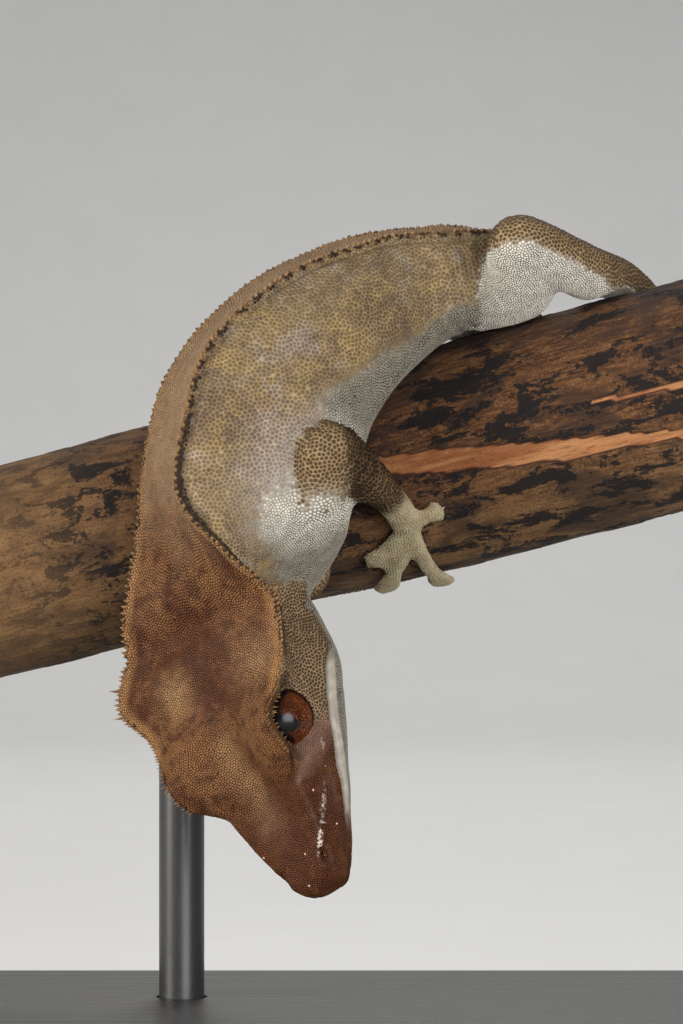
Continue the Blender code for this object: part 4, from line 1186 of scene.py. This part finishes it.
def make_spines(surface):
    """The lashes, and cones along both crests: on the edge, and smaller ones on the spine's side."""
    rows = []
    for side, _ in SIDES:
        rows.append(lashes(surface, side))
        at, *lines = crest_line(900, side)
        run = lengths_along(lines[0])
        for row, (shift, size, start, end) in enumerate(CREST_ROWS):
            steps = spine_places(run, at, row)
            here = np.interp(steps, run, at)
            steps, here = (x[(here > start) & (here < end)] for x in (steps, here))
            spot, rear, way, spine = (
                np.stack([np.interp(steps, run, line[:, i]) for i in range(3)], 1) for line in lines
            )
            on, face = surface.drop(spot + spine * shift)
            normal = unit(surface.read(surface.out, on, face))
            long = spine_length(here) * size * (0.8 + 0.4 * rng.random(len(on)))
            for place_ in LONG_SPINES[side] if row == 0 else ():
                long[np.argmin(np.abs(here - place_))] = LONG_SPINE
            slim = ramp(19.5, 17.5, here)
            radius = (np.interp(here, (24, 30, 50), (0.19, 0.22, 0.26)) * size + 0.01) * (1 - slim) + 0.10 * slim
            ways = unit(normal * 0.5 + way + rear * 0.15 + rng.normal(0, 0.10, (len(on), 3)))
            value = np.stack([here, np.full(len(on), 0.5 + side * 0.12 * (row + 1)), ramp(34, 30, here)], 1)
            rows.append((on, ways, long, radius, rear * 0.25, value))
    *shape, values = (np.concatenate(column) for column in zip(*rows))
    mesh, corners = cones("crest_spines", *shape)
    u = 0.01 + 0.98 * (values[:, 0] - values[:, 0].min()) / np.ptp(values[:, 0])
    places, tone = np.stack([u, values[:, 1]], 1), rng.random(len(values))
    add_map(mesh, corners, places, SPINE_SHAPE, tone, values[:, 2])
    return link_in_metres("crest_spines", mesh)


def make_claws(toes):
    feet, ways, bends = [], [], []
    for path, out in toes:
        feet.append(path[-1] + out[-1] * 0.12)
        ways.append(unit(path[-1] - path[-2]) + out[-1] * 0.25)
        bends.append(-out[-1] * 0.55)
    sizes = (np.full(len(feet), size) for size in (CLAW_LENGTH, CLAW_RADIUS))
    mesh, _ = cones("claws", feet, ways, *sizes, bends)
    return link_in_metres("claws", mesh)


# ---------------------------------------------------------------- eyes, branch and rod


def make_eye(side, word):
    """An eyeball with a bulging cornea; the attribute holds the place across the iris."""
    centre = eye_centre(side)
    gaze, high, wide = eye_axes(GAZE, side)
    rings, around = EYE_LOOPS
    polar = np.linspace(0, pi, rings + 1)[1:-1]
    p, t = np.meshgrid(polar, round_turn(around), indexing="ij")
    reach = EYE_RADIUS + CORNEA_RISE * np.exp(-((p / radians(CORNEA_SPREAD)) ** 4))
    ways = np.cos(t)[..., None] * high + np.sin(t)[..., None] * wide
    ways = np.sin(p)[..., None] * ways + np.cos(p)[..., None] * gaze
    points = (centre + ways * reach[..., None]).reshape(-1, 3)
    poles = [centre + gaze * (EYE_RADIUS + CORNEA_RISE), centre - gaze * EYE_RADIUS]
    points = np.concatenate([points, poles])
    grid = np.stack([np.sin(p) * np.cos(t), np.sin(p) * np.sin(t), np.cos(p)], -1).reshape(-1, 3)
    grid = np.concatenate([grid, [(0, 0, 1), (0, 0, -1)]])
    faces = loft_faces(rings - 1, around)[:-2]
    last = (rings - 2) * around
    for j in range(around):
        k = (j + 1) % around
        faces += [[len(points) - 2, k, j], [len(points) - 1, last + j, last + k]]
    mesh = solid_mesh(f"eyeball_{word}", points, faces)
    set_colours(mesh, "iris", *(grid.T * 0.5 + 0.5))
    away, _, rise, _ = eye_angles(points, side)
    set_colours(mesh, "brow_shade", ramp(0.62, 0.86, away) * ramp(-14, 8, rise))
    return link_in_metres(f"eyeball_{word}", mesh)


def streak_share(x, round_way, rows):
    at, middle, half = np.array(rows).T
    middle, half = np.interp(x, at, middle), np.interp(x, at, half)
    inside = ramp(1.12, 0.85, np.abs(round_way - middle) / half)
    return inside * ramp(at[0] - 2, at[0], x) * ramp(at[-1] + 1.5, at[-1], x)


def round_grain(x, angle, share=1.0):
    """Where points are in the wood's own frame: along X and across it."""
    across, high = np.cos(angle) * BRANCH_RADIUS * share, np.sin(angle) * BRANCH_RADIUS * share
    return np.stack([np.broadcast_to(x, angle.shape), across, high], 1)


def make_branch():
    """The bark with its cracks, pits and bare streaks, and the cut ends."""
    count, around = BARK_LOOPS
    xs = np.linspace(*BRANCH_ENDS, count)
    turns = np.arange(around) * 360.0 / around - 180.0
    x, turn = (g.ravel() for g in np.meshgrid(xs, turns, indexing="ij"))
    rad = np.radians(turn)
    way = np.cos(rad)[:, None] * BRANCH_UP + np.sin(rad)[:, None] * BRANCH_BACK
    wave = np.sin(2 * rad + x * 0.11) + 0.6 * np.sin(3 * rad - x * 0.17)
    radius = branch_radius(x) + BARK_WAVE * wave / 1.6
    grain = round_grain(x, rad)
    stretched = grain * (0.16, 1.0, 1.0)
    fibre = lattice_noise(stretched, 0.62, 31) + 0.6 * lattice_noise(stretched, 0.3, 32)
    lumps = lattice_noise(grain * (0.6, 1, 1), 3.4, 33)
    plates = lattice_noise(grain * (0.55, 1, 1), 1.9, 34) + 0.5 * lattice_noise(grain, 0.8, 35)
    bare = most(*(streak_share(x, turn + bend * fibre, rows) for bend, rows in zip((1.3, 1.0), STREAKS)))
    crack = ramp(-0.42, -0.62, lattice_noise(stretched, 0.95, 36))
    pit = ramp(0.45, 0.75, lattice_noise(grain, 0.7, 37))
    lift = 0.10 * lumps + 0.05 * fibre + 0.07 * ramp(0.0, 0.25, plates)
    lift = lift - 0.10 * crack * (1 - bare) - 0.06 * pit * (1 - bare)
    end = ramp(0.5, 0.0, np.minimum(x - BRANCH_ENDS[0], BRANCH_ENDS[1] - x))
    lift = lift * (1 - 0.4 * bare) - 0.22 * bare - 0.25 * end**2
    points = branch_centre(x) + way * (radius + lift - 0.03)[:, None]
    rings = points.reshape(count, around, 3)
    every, grains = [points], [grain]
    wood = [np.stack([bare, plates * 0.5 + 0.5, np.zeros(len(x))], 1)]
    faces = loft_faces(count, around)[:-2]
    first = len(points)
    for index, step in ((0, 1), (count - 1, -1)):
        middle = branch_centre(xs[index])
        before = index * around + np.arange(around)
        for ring in range(1, BARK_END_LOOPS):
            share = 1 - ring / BARK_END_LOOPS
            spokes = middle + (rings[index] - middle) * share
            dull = lattice_noise(spokes, 0.9, 41) * 0.04 + 0.03 * np.sin(share * 60)
            every.append(spokes + BRANCH_AXIS * dull[:, None] * step)
            now = first + np.arange(around)
            faces += ring_faces(before, now)[:, ::step * -1].tolist()
            grains.append(round_grain(xs[index], np.radians(turns), share))
            wood.append(np.tile((0.0, 0.5, 1.0), (around, 1)))
            before = now
            first += around
        every.append(middle[None])
        grains.append(np.array([[xs[index], 0, 0]]))
        wood.append(np.array([[0.0, 0.5, 1.0]]))
        faces += np.stack([before, np.roll(before, -1), np.full(around, first)], 1)[:, ::step * -1].tolist()
        first += 1
    mesh = solid_mesh("branch_bark", np.concatenate(every), faces)
    made = mesh.attributes.new("grain", "FLOAT_VECTOR", "POINT")
    made.data.foreach_set("vector", np.concatenate(grains).astype(np.float32).ravel())
    set_colours(mesh, "wood", *np.concatenate(wood).T)
    return link_in_metres("branch_bark", mesh)


def make_rod():
    """The stand's rod as a smooth round bar, with a fine chamfer at its ends inside base and branch."""
    turn, (chamfer, less) = round_turn(ROD_LOOPS), ROD_CHAMFER
    ring = np.stack([np.cos(turn), np.sin(turn), np.zeros(ROD_LOOPS)], 1)
    top = on_branch(ROD_X, 180.0, 0.0)[2] + ROD_IN_BRANCH
    rows = ((ROD_FOOT, less), (ROD_FOOT + chamfer, 1.0), (top - chamfer, 1.0), (top, less))
    middle = np.array((ROD_X, branch_centre(ROD_X)[1], 0.0))
    points = [middle + (0.0, 0.0, z) + ring * ROD_RADIUS * share for z, share in rows]
    mesh = solid_mesh("rod", np.concatenate(points), loft_faces(len(rows), ROD_LOOPS))
    mesh.set_sharp_from_angle(angle=radians(40))
    return link_in_metres("rod", mesh)


# ---------------------------------------------------------------- node materials


class Nodes:
    """Short ways to build a material's node tree."""

    def __init__(self, name):
        self.material = bpy.data.materials.new(name)
        self.material.use_nodes = True
        self.tree = self.material.node_tree
        self.shader = self.tree.nodes["Principled BSDF"]

    def feed(self, socket, value):
        if isinstance(value, bpy.types.NodeSocket):
            self.tree.links.new(value, socket)
        elif isinstance(value, tuple) and len(value) == 3 and socket.type == "RGBA":
            socket.default_value = (*value, 1.0)
        else:
            socket.default_value = value

    def add(self, kind, inputs=(), out=0, **settings):
        made = self.tree.nodes.new(f"ShaderNode{kind}")
        for key, value in settings.items():
            setattr(made, key, value)
        for key, value in dict(inputs).items():
            self.feed(made.inputs[key], value)
        return made.outputs[out]

    def attribute(self, name, out="Color"):
        return self.add("Attribute", out=out, attribute_name=name)

    def split(self, name):
        colour = self.attribute(name)
        made = self.add("SeparateColor", {0: colour}).node
        return made.outputs[0], made.outputs[1], made.outputs[2]

    def mix(self, share, a, b, blend="MIX"):
        return self.add("Mix", {0: share, 6: a, 7: b}, out=2, data_type="RGBA", blend_type=blend)

    def layered(self, colour, *layers):
        """The colour with each layer's colour mixed over it by its share."""
        for share, over in layers:
            colour = self.mix(share, colour, over)
        return colour

    def math(self, operation, a, b=0.0):
        return self.add("Math", {0: a, 1: b}, operation=operation)

    def times(self, *values):
        return reduce(lambda a, b: self.math("MULTIPLY", a, b), values)

    def plus(self, *values):
        return reduce(lambda a, b: self.math("ADD", a, b), values)

    def vector(self, operation, a, b=(0.0, 0.0, 0.0), out=0):
        return self.add("VectorMath", {0: a, 1: b}, out=out, operation=operation)

    def span(self, value, low, high, to_low=0.0, to_high=1.0):
        inputs = {0: value, 1: low, 2: high, 3: to_low, 4: to_high}
        return self.add("MapRange", inputs, interpolation_type="SMOOTHSTEP")

    def noise(self, vector, size, detail=2.0, rough=0.5, warp=0.0, out=0):
        inputs = {"Vector": vector, "Scale": size, "Detail": detail, "Roughness": rough, "Distortion": warp}
        return self.add("TexNoise", inputs, out=out)

    def object_place(self):
        return self.add("TexCoord", out="Object")

    def finish(self, colour, rough, bump=None, **sockets):
        """The shader's colour, roughness and bump (height, strength, distance), and its own sockets."""
        self.feed(self.shader.inputs["Base Color"], colour)
        self.feed(self.shader.inputs["Roughness"], rough)
        if bump:
            height, strength, distance = bump
            inputs = {"Strength": strength, "Distance": distance, "Height": height}
            self.feed(self.shader.inputs["Normal"], self.add("Bump", inputs))
        for name, value in sockets.items():
            self.shader.inputs[name.replace("_", " ")].default_value = value
        return self.material


# The dark and the light tone of each region. Where there are cells, scales are dark in a light
# net; elsewhere they are light with dark gaps.
SKIN_TONES = {
    "flank": ((0.132, 0.09, 0.047), (0.246, 0.175, 0.092)),
    "yellow": ((0.142, 0.094, 0.035), (0.312, 0.215, 0.09)),
    "clouds": ((0.07, 0.044, 0.026), (0.15, 0.102, 0.06)),
    "grey": ((0.148, 0.116, 0.094), (0.285, 0.232, 0.184)),
    "back": ((0.080, 0.046, 0.022), (0.25, 0.162, 0.088)),
    "crown": ((0.019, 0.0048, 0.0012), (0.090, 0.030, 0.0095)),
    "crown_clouds": ((0.014, 0.0036, 0.0012), (0.058, 0.018, 0.0056)),
    "crown_tan": ((0.044, 0.016, 0.0045), (0.175, 0.078, 0.028)),
    "light": ((0.09, 0.043, 0.016), (0.32, 0.185, 0.084)),
    "snout": ((0.020, 0.0045, 0.0010), (0.076, 0.021, 0.0058)),
    "cheek": ((0.038, 0.022, 0.010), (0.215, 0.142, 0.076)),
    "pale": ((0.135, 0.122, 0.098), (0.52, 0.49, 0.42)),
    "pale_patch": ((0.10, 0.084, 0.060), (0.35, 0.315, 0.25)),
    # a darker copy of the pale tone: painted shade on the underside
    "belly": ((0.050, 0.042, 0.030), (0.21, 0.190, 0.150)),
    "dark": ((0.01, 0.0048, 0.0018), (0.062, 0.034, 0.013)),
    "limb": ((0.058, 0.034, 0.015), (0.235, 0.158, 0.08)),
    "foot": ((0.215, 0.185, 0.115), (0.300, 0.258, 0.160)),
    "crest": ((0.105, 0.048, 0.015), (0.29, 0.150, 0.058)),
    "rim": ((0.085, 0.04, 0.026), (0.21, 0.125, 0.088)),
    "lip": ((0.24, 0.205, 0.16), (0.31, 0.27, 0.225)),
}
# Painted colours: a highlight for the snout's glints, then shade beside the crests and under the brow, then shade in
# the mouth's crease and the nostrils.
PAINTED_GLINT, PAINTED_SHADE_TONE, MOUTH_SHADE = (0.52, 0.42, 0.37), (0.010, 0.005, 0.0025), (0.011, 0.005, 0.004)


def marked_colour(n, which, at):
    """The animal's markings at a place, in the dark tones (0) or the light ones (1)."""
    tone = {name: pair[which] for name, pair in SKIN_TONES.items()}
    crown, pale, foot = n.split("marks_a")
    lip, crest, dark = n.split("marks_b")
    yellow, light, wet_and_glint = n.split("marks_c")
    rim, mouth, corner = n.split("marks_d")
    cheek, painted_shade, cells = n.split("marks_e")
    clouds = n.noise(at, 115.0, 3.0, 0.55, 0.6)
    patches = n.noise(at, 330.0, 3.0, 0.6, 0.4)
    specks = n.noise(at, 1100.0, 2.0, 0.6)
    mottle = n.noise(at, 720.0, 3.0, 0.65)
    flank = n.layered(
        tone["flank"],
        (n.times(yellow, 0.8), tone["yellow"]),
        (n.span(clouds, 0.42, 0.62, 0.0, 0.75), tone["clouds"]),
        (n.span(patches, 0.46, 0.34, 0.0, 0.55), tone["grey"]),
        (n.span(patches, 0.53, 0.66, 0.0, 0.55), tone["yellow"]),
        (n.span(mottle, 0.50, 0.64, 0.0, 0.6), tone["clouds"]),
        (n.times(light, 0.9), tone["grey"]),
        (n.span(corner, 0.31, 0.26), tone["back"]),
    )
    head = n.layered(
        tone["crown"],
        (n.span(clouds, 0.40, 0.60), tone["crown_tan"]),
        (n.span(patches, 0.52, 0.70, 0.0, 0.7), tone["crown_clouds"]),
        (n.span(mottle, 0.50, 0.64, 0.0, 0.7), tone["crown_clouds"]),
        (n.span(mottle, 0.46, 0.34, 0.0, 0.55), tone["crown_tan"]),
        (n.times(light, 0.75), tone["light"]),
        (n.times(n.span(wet_and_glint, 0.0, 0.7), n.span(clouds, 0.35, 0.6, 0.3, 0.75)), tone["snout"]),
        # painted glints on the snout
        (n.times(n.span(wet_and_glint, 0.74, 0.98), n.span(specks, 0.40, 0.56)), PAINTED_GLINT),
    )
    under = n.mix(n.span(patches, 0.50, 0.75, 0.0, 0.5), tone["pale"], tone["pale_patch"])
    colour = n.layered(
        flank,
        (crown, head),
        (cheek, n.mix(light, tone["cheek"], tone["limb"])),
        # pale undersides take the darker belly tone, painted shade, except on the shoulder patch, the limbs and the
        # head's light spots
        (pale, n.mix(light, tone["belly"], under)),
        (n.times(dark, n.span(clouds, 0.3, 0.6, 0.6, 1.0)), tone["dark"]),
        (foot, n.mix(n.span(mottle, 0.45, 0.62, 0.0, 0.5), tone["foot"], SKIN_TONES["limb"][1])),
        (n.times(crest, 0.85), tone["crest"]),
        (n.times(rim, 0.8), tone["rim"]),
        (lip, tone["lip"]),
        # painted shade beside the crests and under the brow
        (n.times(painted_shade, 0.93), PAINTED_SHADE_TONE),
        # painted shade in the mouth's crease and the nostrils
        (n.times(mouth, 0.93), MOUTH_SHADE),
    )
    shade = n.span(specks, 0.3, 0.7, 0.84, 1.14)
    grey = n.add("CombineColor", {0: shade, 1: shade, 2: shade})
    return n.mix(1.0, colour, grey, "MULTIPLY"), wet_and_glint, cells


def skin_material():
    n = Nodes("gecko_skin")
    at = n.object_place()
    dark, wet_and_glint, cells = marked_colour(n, 0, at)
    light, _, _ = marked_colour(n, 1, at)
    grain = n.noise(at, 3200.0, 3.0, 0.6)
    return n.finish(
        n.mix(n.math("MAXIMUM", cells, n.split("marks_b")[0]), dark, light),
        n.math("SUBTRACT", n.span(grain, 0.3, 0.7, 0.50, 0.68), n.times(wet_and_glint, 0.25)),
        (grain, 0.35, 0.00005),
        Specular_IOR_Level=0.12,
        Subsurface_Weight=0.06,
        Subsurface_Radius=(0.0011, 0.0006, 0.0004),
        Subsurface_Scale=1.0,
    )


def scale_material():
    """Each scale in one tone, with the other at its rim; cells have a dark dot in a light net."""
    n = Nodes("gecko_scales")
    at = n.object_place()
    dark, wet_and_glint, cells = marked_colour(n, 0, at)
    light, _, _ = marked_colour(n, 1, at)
    tone, height, dot = n.split("scale")
    inner = n.times(cells, n.math("SUBTRACT", 1.0, n.times(dot, 0.34)))
    low, high = (n.plus(inner, n.span(cells, 0.0, 1.0, *ends)) for ends in ((0.06, -0.16), (0.85, 0.18)))
    colour = n.mix(n.span(height, low, high), n.mix(cells, dark, light), n.mix(cells, light, dark))
    darker = n.mix(1.0, colour, (0.66, 0.64, 0.62), "MULTIPLY")
    colour = n.mix(n.span(tone, 0.0, 1.0, 0.0, 0.45), colour, darker)
    lighter = n.mix(1.0, colour, (1.5, 1.5, 1.45), "MULTIPLY")
    colour = n.mix(n.span(tone, 0.8, 1.0, 0.0, 0.35), colour, lighter)
    grain = n.noise(at, 4200.0, 2.0, 0.5)
    rough = n.math("SUBTRACT", n.span(grain, 0.3, 0.7, 0.44, 0.62), n.times(wet_and_glint, 0.25))
    return n.finish(colour, rough, (grain, 0.25, 0.00003), Specular_IOR_Level=0.14)


def spine_material():
    n = Nodes("crest_spines")
    tone, height, brown = n.split("scale")
    grain = n.noise(n.object_place(), 3000.0, 2.0, 0.5)
    colour = n.layered(
        n.mix(brown, (0.050, 0.026, 0.011), (0.075, 0.030, 0.010)),
        (n.span(height, 0.1, 0.75), n.mix(brown, (0.20, 0.120, 0.052), (0.215, 0.105, 0.036))),
        (n.span(tone, 0.30, 0.95, 0.0, 0.75), (0.070, 0.032, 0.013)),
        (n.span(grain, 0.4, 0.7, 0.0, 0.25), (0.30, 0.20, 0.10)),
    )
    return n.finish(colour, n.span(grain, 0.3, 0.7, 0.42, 0.6), Specular_IOR_Level=0.2)


def grained_material(name, size, dark, light, rough, bump=None):
    """A finish of two near tones in fine grain; roughness is one value or a pair that follows it."""
    n = Nodes(name)
    grain = n.noise(n.object_place(), size, 2.0, 0.5)
    if isinstance(rough, tuple):
        rough = n.span(grain, 0.3, 0.7, *rough)
    return n.finish(n.mix(grain, dark, light), rough, bump and (grain, *bump))


def base_material():
    n = Nodes("stand_black_wood")
    grain = n.noise(n.vector("MULTIPLY", n.object_place(), (0.05, 1.0, 1.0)), 900.0, 4.0, 0.6, 0.5)
    colour = n.mix(n.span(grain, 0.35, 0.7), (0.012, 0.011, 0.010), (0.030, 0.026, 0.022))
    return n.finish(colour, n.span(grain, 0.3, 0.7, 0.34, 0.50), (grain, 0.25, 0.00006))


def eye_material():
    """Copper iris with a fine dark net, a notched upright pupil and a dark outer ring."""
    n = Nodes("gecko_eye")
    p, q, ahead = (n.math("SUBTRACT", n.times(v, 2.0), 1.0) for v in n.split("iris"))
    disc = n.add("CombineXYZ", {0: p, 1: q, 2: 0.0})
    reach = n.vector("LENGTH", disc, out="Value")
    half = n.span(n.noise(disc, 7.0, 1.0, 0.5), 0.3, 0.7, 0.24, 0.31)
    long, wide = (
        n.math("POWER", n.math("ABSOLUTE", n.math("DIVIDE", a, b)), 2.0) for a, b in ((p, 0.44), (q, half))
    )
    drift = n.vector("MULTIPLY", n.noise(disc, 6.0, 2.0, 0.5, out=1), (0.3,) * 3)
    warped = n.vector("ADD", disc, drift)
    veins, fine = (
        n.add("TexVoronoi", {"Vector": warped, "Scale": size}, feature="DISTANCE_TO_EDGE") for size in (9.0, 24.0)
    )
    colour = n.layered(
        (0.022, 0.0045, 0.0012),
        (n.span(n.noise(disc, 3.0, 3.0, 0.6), 0.35, 0.65), (0.060, 0.013, 0.0026)),
        (n.span(reach, 0.45, 0.85, 0.0, 0.85), (0.095, 0.024, 0.0050)),
        (n.span(n.noise(warped, 26.0, 2.0, 0.6), 0.55, 0.66, 0.0, 0.75), (0.32, 0.13, 0.060)),
        (n.span(fine, 0.12, 0.0, 0.0, 0.85), (0.022, 0.005, 0.003)),
        (n.span(veins, 0.08, 0.0, 0.0, 0.8), (0.016, 0.004, 0.002)),
        (n.span(reach, 0.88, 0.95), (0.010, 0.004, 0.002)),
        (n.span(n.math("SQRT", n.plus(long, wide)), 1.12, 0.86), (0.002, 0.002, 0.0025)),
        (n.span(ahead, 0.20, 0.08), (0.012, 0.006, 0.004)),
        (n.split("brow_shade")[0], (0.003, 0.002, 0.002)),
    )
    return n.finish(colour, 0.35, Specular_IOR_Level=0.0, Coat_Weight=0.36, Coat_Roughness=0.22)


def bark_material():
    """Brown fibrous bark with grit, stains and black blots, the bare streaks and the ringed ends."""
    n = Nodes("branch_bark")
    grain = n.attribute("grain", "Vector")
    bare, _, end = n.split("wood")
    along, broad = (n.vector("MULTIPLY", grain, (stretch, 1.0, 1.0)) for stretch in (0.16, 0.5))
    fibre = n.noise(along, 3.2, 5.0, 0.72, 0.3)
    streaks = n.noise(along, 0.55, 3.0, 0.6, 0.4)
    stains = n.noise(broad, 0.28, 5.0, 0.62, 0.35)
    blots = n.noise(broad, 0.42, 4.0, 0.7, 0.5)
    grit = n.noise(grain, 5.0, 3.0, 0.7)
    crumbs = n.noise(grain, 2.2, 4.0, 0.75)
    x, y = (n.add("SeparateXYZ", {0: grain}, out=i) for i in range(2))
    paler = n.math("MAXIMUM", n.span(x, -8.0, -26.0), n.span(y, -2.0, -9.0, 0.0, 0.7))
    blots = n.plus(blots, n.times(grit, 0.20), n.times(crumbs, 0.34))
    bark = n.layered(
        (0.034, 0.012, 0.004),
        (n.span(streaks, 0.35, 0.65), (0.078, 0.031, 0.010)),
        (n.span(fibre, 0.44, 0.60, 0.0, 0.8), (0.145, 0.064, 0.024)),
        (n.times(paler, n.span(streaks, 0.3, 0.7, 0.5, 0.95)), (0.180, 0.100, 0.040)),
        (n.span(grit, 0.55, 0.68, 0.0, 0.65), (0.215, 0.120, 0.056)),
        (n.span(grit, 0.46, 0.33, 0.0, 0.75), (0.016, 0.008, 0.004)),
        (n.times(n.span(stains, 0.46, 0.58, 0.0, 0.72), n.span(x, -32.0, -14.0, 0.4, 1.0)), (0.022, 0.012, 0.008)),
        (n.times(n.span(blots, 0.785, 0.825, 0.0, 0.95), n.span(x, -32.0, -18.0, 0.35, 1.0)), (0.006, 0.005, 0.005)),
    )
    raw = n.layered(
        (0.20, 0.068, 0.022),
        (n.span(streaks, 0.4, 0.62), (0.34, 0.155, 0.062)),
        (n.span(fibre, 0.5, 0.66, 0.0, 0.7), (0.115, 0.036, 0.013)),
        (n.span(grit, 0.60, 0.72, 0.0, 0.6), (0.44, 0.25, 0.13)),
    )
    rings = n.vector("LENGTH", n.vector("MULTIPLY", grain, (0.0, 1.0, 1.0)), out="Value")
    ringed = n.math("SINE", n.times(n.plus(rings, n.times(stains, 0.9)), 8.5))
    cut = n.layered(
        (0.38, 0.245, 0.13),
        (n.span(ringed, -0.6, 0.9), (0.22, 0.125, 0.060)),
        (n.span(grit, 0.5, 0.7, 0.0, 0.4), (0.16, 0.09, 0.045)),
    )
    edge = n.times(n.span(bare, 0.05, 0.35), n.span(bare, 0.85, 0.45), 0.8)
    colour = n.layered(bark, (n.span(bare, 0.3, 0.6), raw), (edge, (0.030, 0.010, 0.005)), (end, cut))
    height = n.plus(fibre, n.times(grit, 0.5))
    return n.finish(colour, n.span(grit, 0.3, 0.7, 0.72, 0.92), (height, 1.0, 0.0003), Specular_IOR_Level=0.2)


# ---------------------------------------------------------------- stage


def make_stage():
    """A pale sweep: floor and backdrop in one curve, far behind the model."""
    near, bend_start, bend, top, half = -0.9, 0.55, 0.35, 1.6, 1.6
    turns = [radians(90 * step / 12) for step in range(1, 13)]
    curve = [(bend_start + bend * sin(turn), bend - bend * cos(turn)) for turn in turns]
    profile = [(near, 0.0), (bend_start, 0.0), *curve, (bend_start + bend, top)]
    points = [(x, y, z - 0.00005) for y, z in profile for x in (-half, half)]
    faces = [(2 * i, 2 * i + 1, 2 * i + 3, 2 * i + 2) for i in range(len(profile) - 1)]
    mesh = bpy.data.meshes.new("sweep")
    mesh.from_pydata(points, [], faces)
    mesh.polygons.foreach_set("use_smooth", np.ones(len(faces), bool))
    mesh.materials.append(grained_material("pale_sweep", 60.0, (0.76, 0.75, 0.73), (0.80, 0.79, 0.77), 0.9))
    link("sweep", mesh)


def light_and_camera():
    scene = bpy.context.scene
    for name, (at, aim, size, watts, colour) in LIGHTS.items():
        data = bpy.data.lights.new(name, "AREA")
        data.shape, data.size, data.energy, data.color = "DISK", size, watts, colour
        made = link(name, data)
        made.location, made.rotation_mode = at, "QUATERNION"
        made.rotation_quaternion = (Vector((0.0, 0.0, aim)) - Vector(at)).to_track_quat("-Z", "Y")
    world = bpy.data.worlds.new("studio")
    world.use_nodes = True
    sky = world.node_tree.nodes["Background"].inputs
    sky[0].default_value, sky[1].default_value = SKY_COLOUR, SKY_STRENGTH
    scene.world = world
    scene.view_settings.view_transform = "Standard"
    data = bpy.data.cameras.new("camera")
    data.lens, data.sensor_width, data.clip_start, data.clip_end = CAMERA_LENS, 36.0, 0.01, 20.0
    scene.camera = link("camera", data)
    scene.camera.location = CAMERA_AT
    scene.camera.rotation_euler = (radians(90), 0.0, 0.0)


def coated(piece, material):
    piece.data.materials.clear()
    piece.data.materials.append(material)
    return piece


def main():
    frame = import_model()
    sources, toes = animal_sources()
    mesh, known, marks = make_skin(sources)
    surface, coat = make_coat(mesh, known, marks)
    spines, claws = make_spines(surface), make_claws(toes)
    skin = coated(link_in_metres("skin", mesh), skin_material())
    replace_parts(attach(skin, "root"), *FLESH)
    scales = scale_material()
    for piece in coat:
        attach(coated(piece, scales), "root")
    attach(coated(spines, spine_material()), "root")
    horn = grained_material("claw_horn", 2500.0, (0.20, 0.15, 0.09), (0.42, 0.36, 0.25), (0.22, 0.4))
    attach(coated(claws, horn), "root")
    iris = eye_material()
    for side, word in SIDES:
        ball = coated(make_eye(side, word), iris)
        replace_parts(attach(ball, "root"), f"eye_{word}")
    branch = coated(make_branch(), bark_material())
    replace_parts(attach(branch, "root"), "perch_branch")
    frame["nodes"]["stand_base"].material_slots[0].material = base_material()
    tones = (0.018, 0.018, 0.018), (0.028, 0.027, 0.026)
    paint = grained_material("stand_black_rod", 2600.0, *tones, (0.28, 0.4), (0.1, 0.00003))
    rod = coated(make_rod(), paint)
    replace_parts(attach(rod, "root"), "stand_rod")
    make_stage()
    light_and_camera()


main()
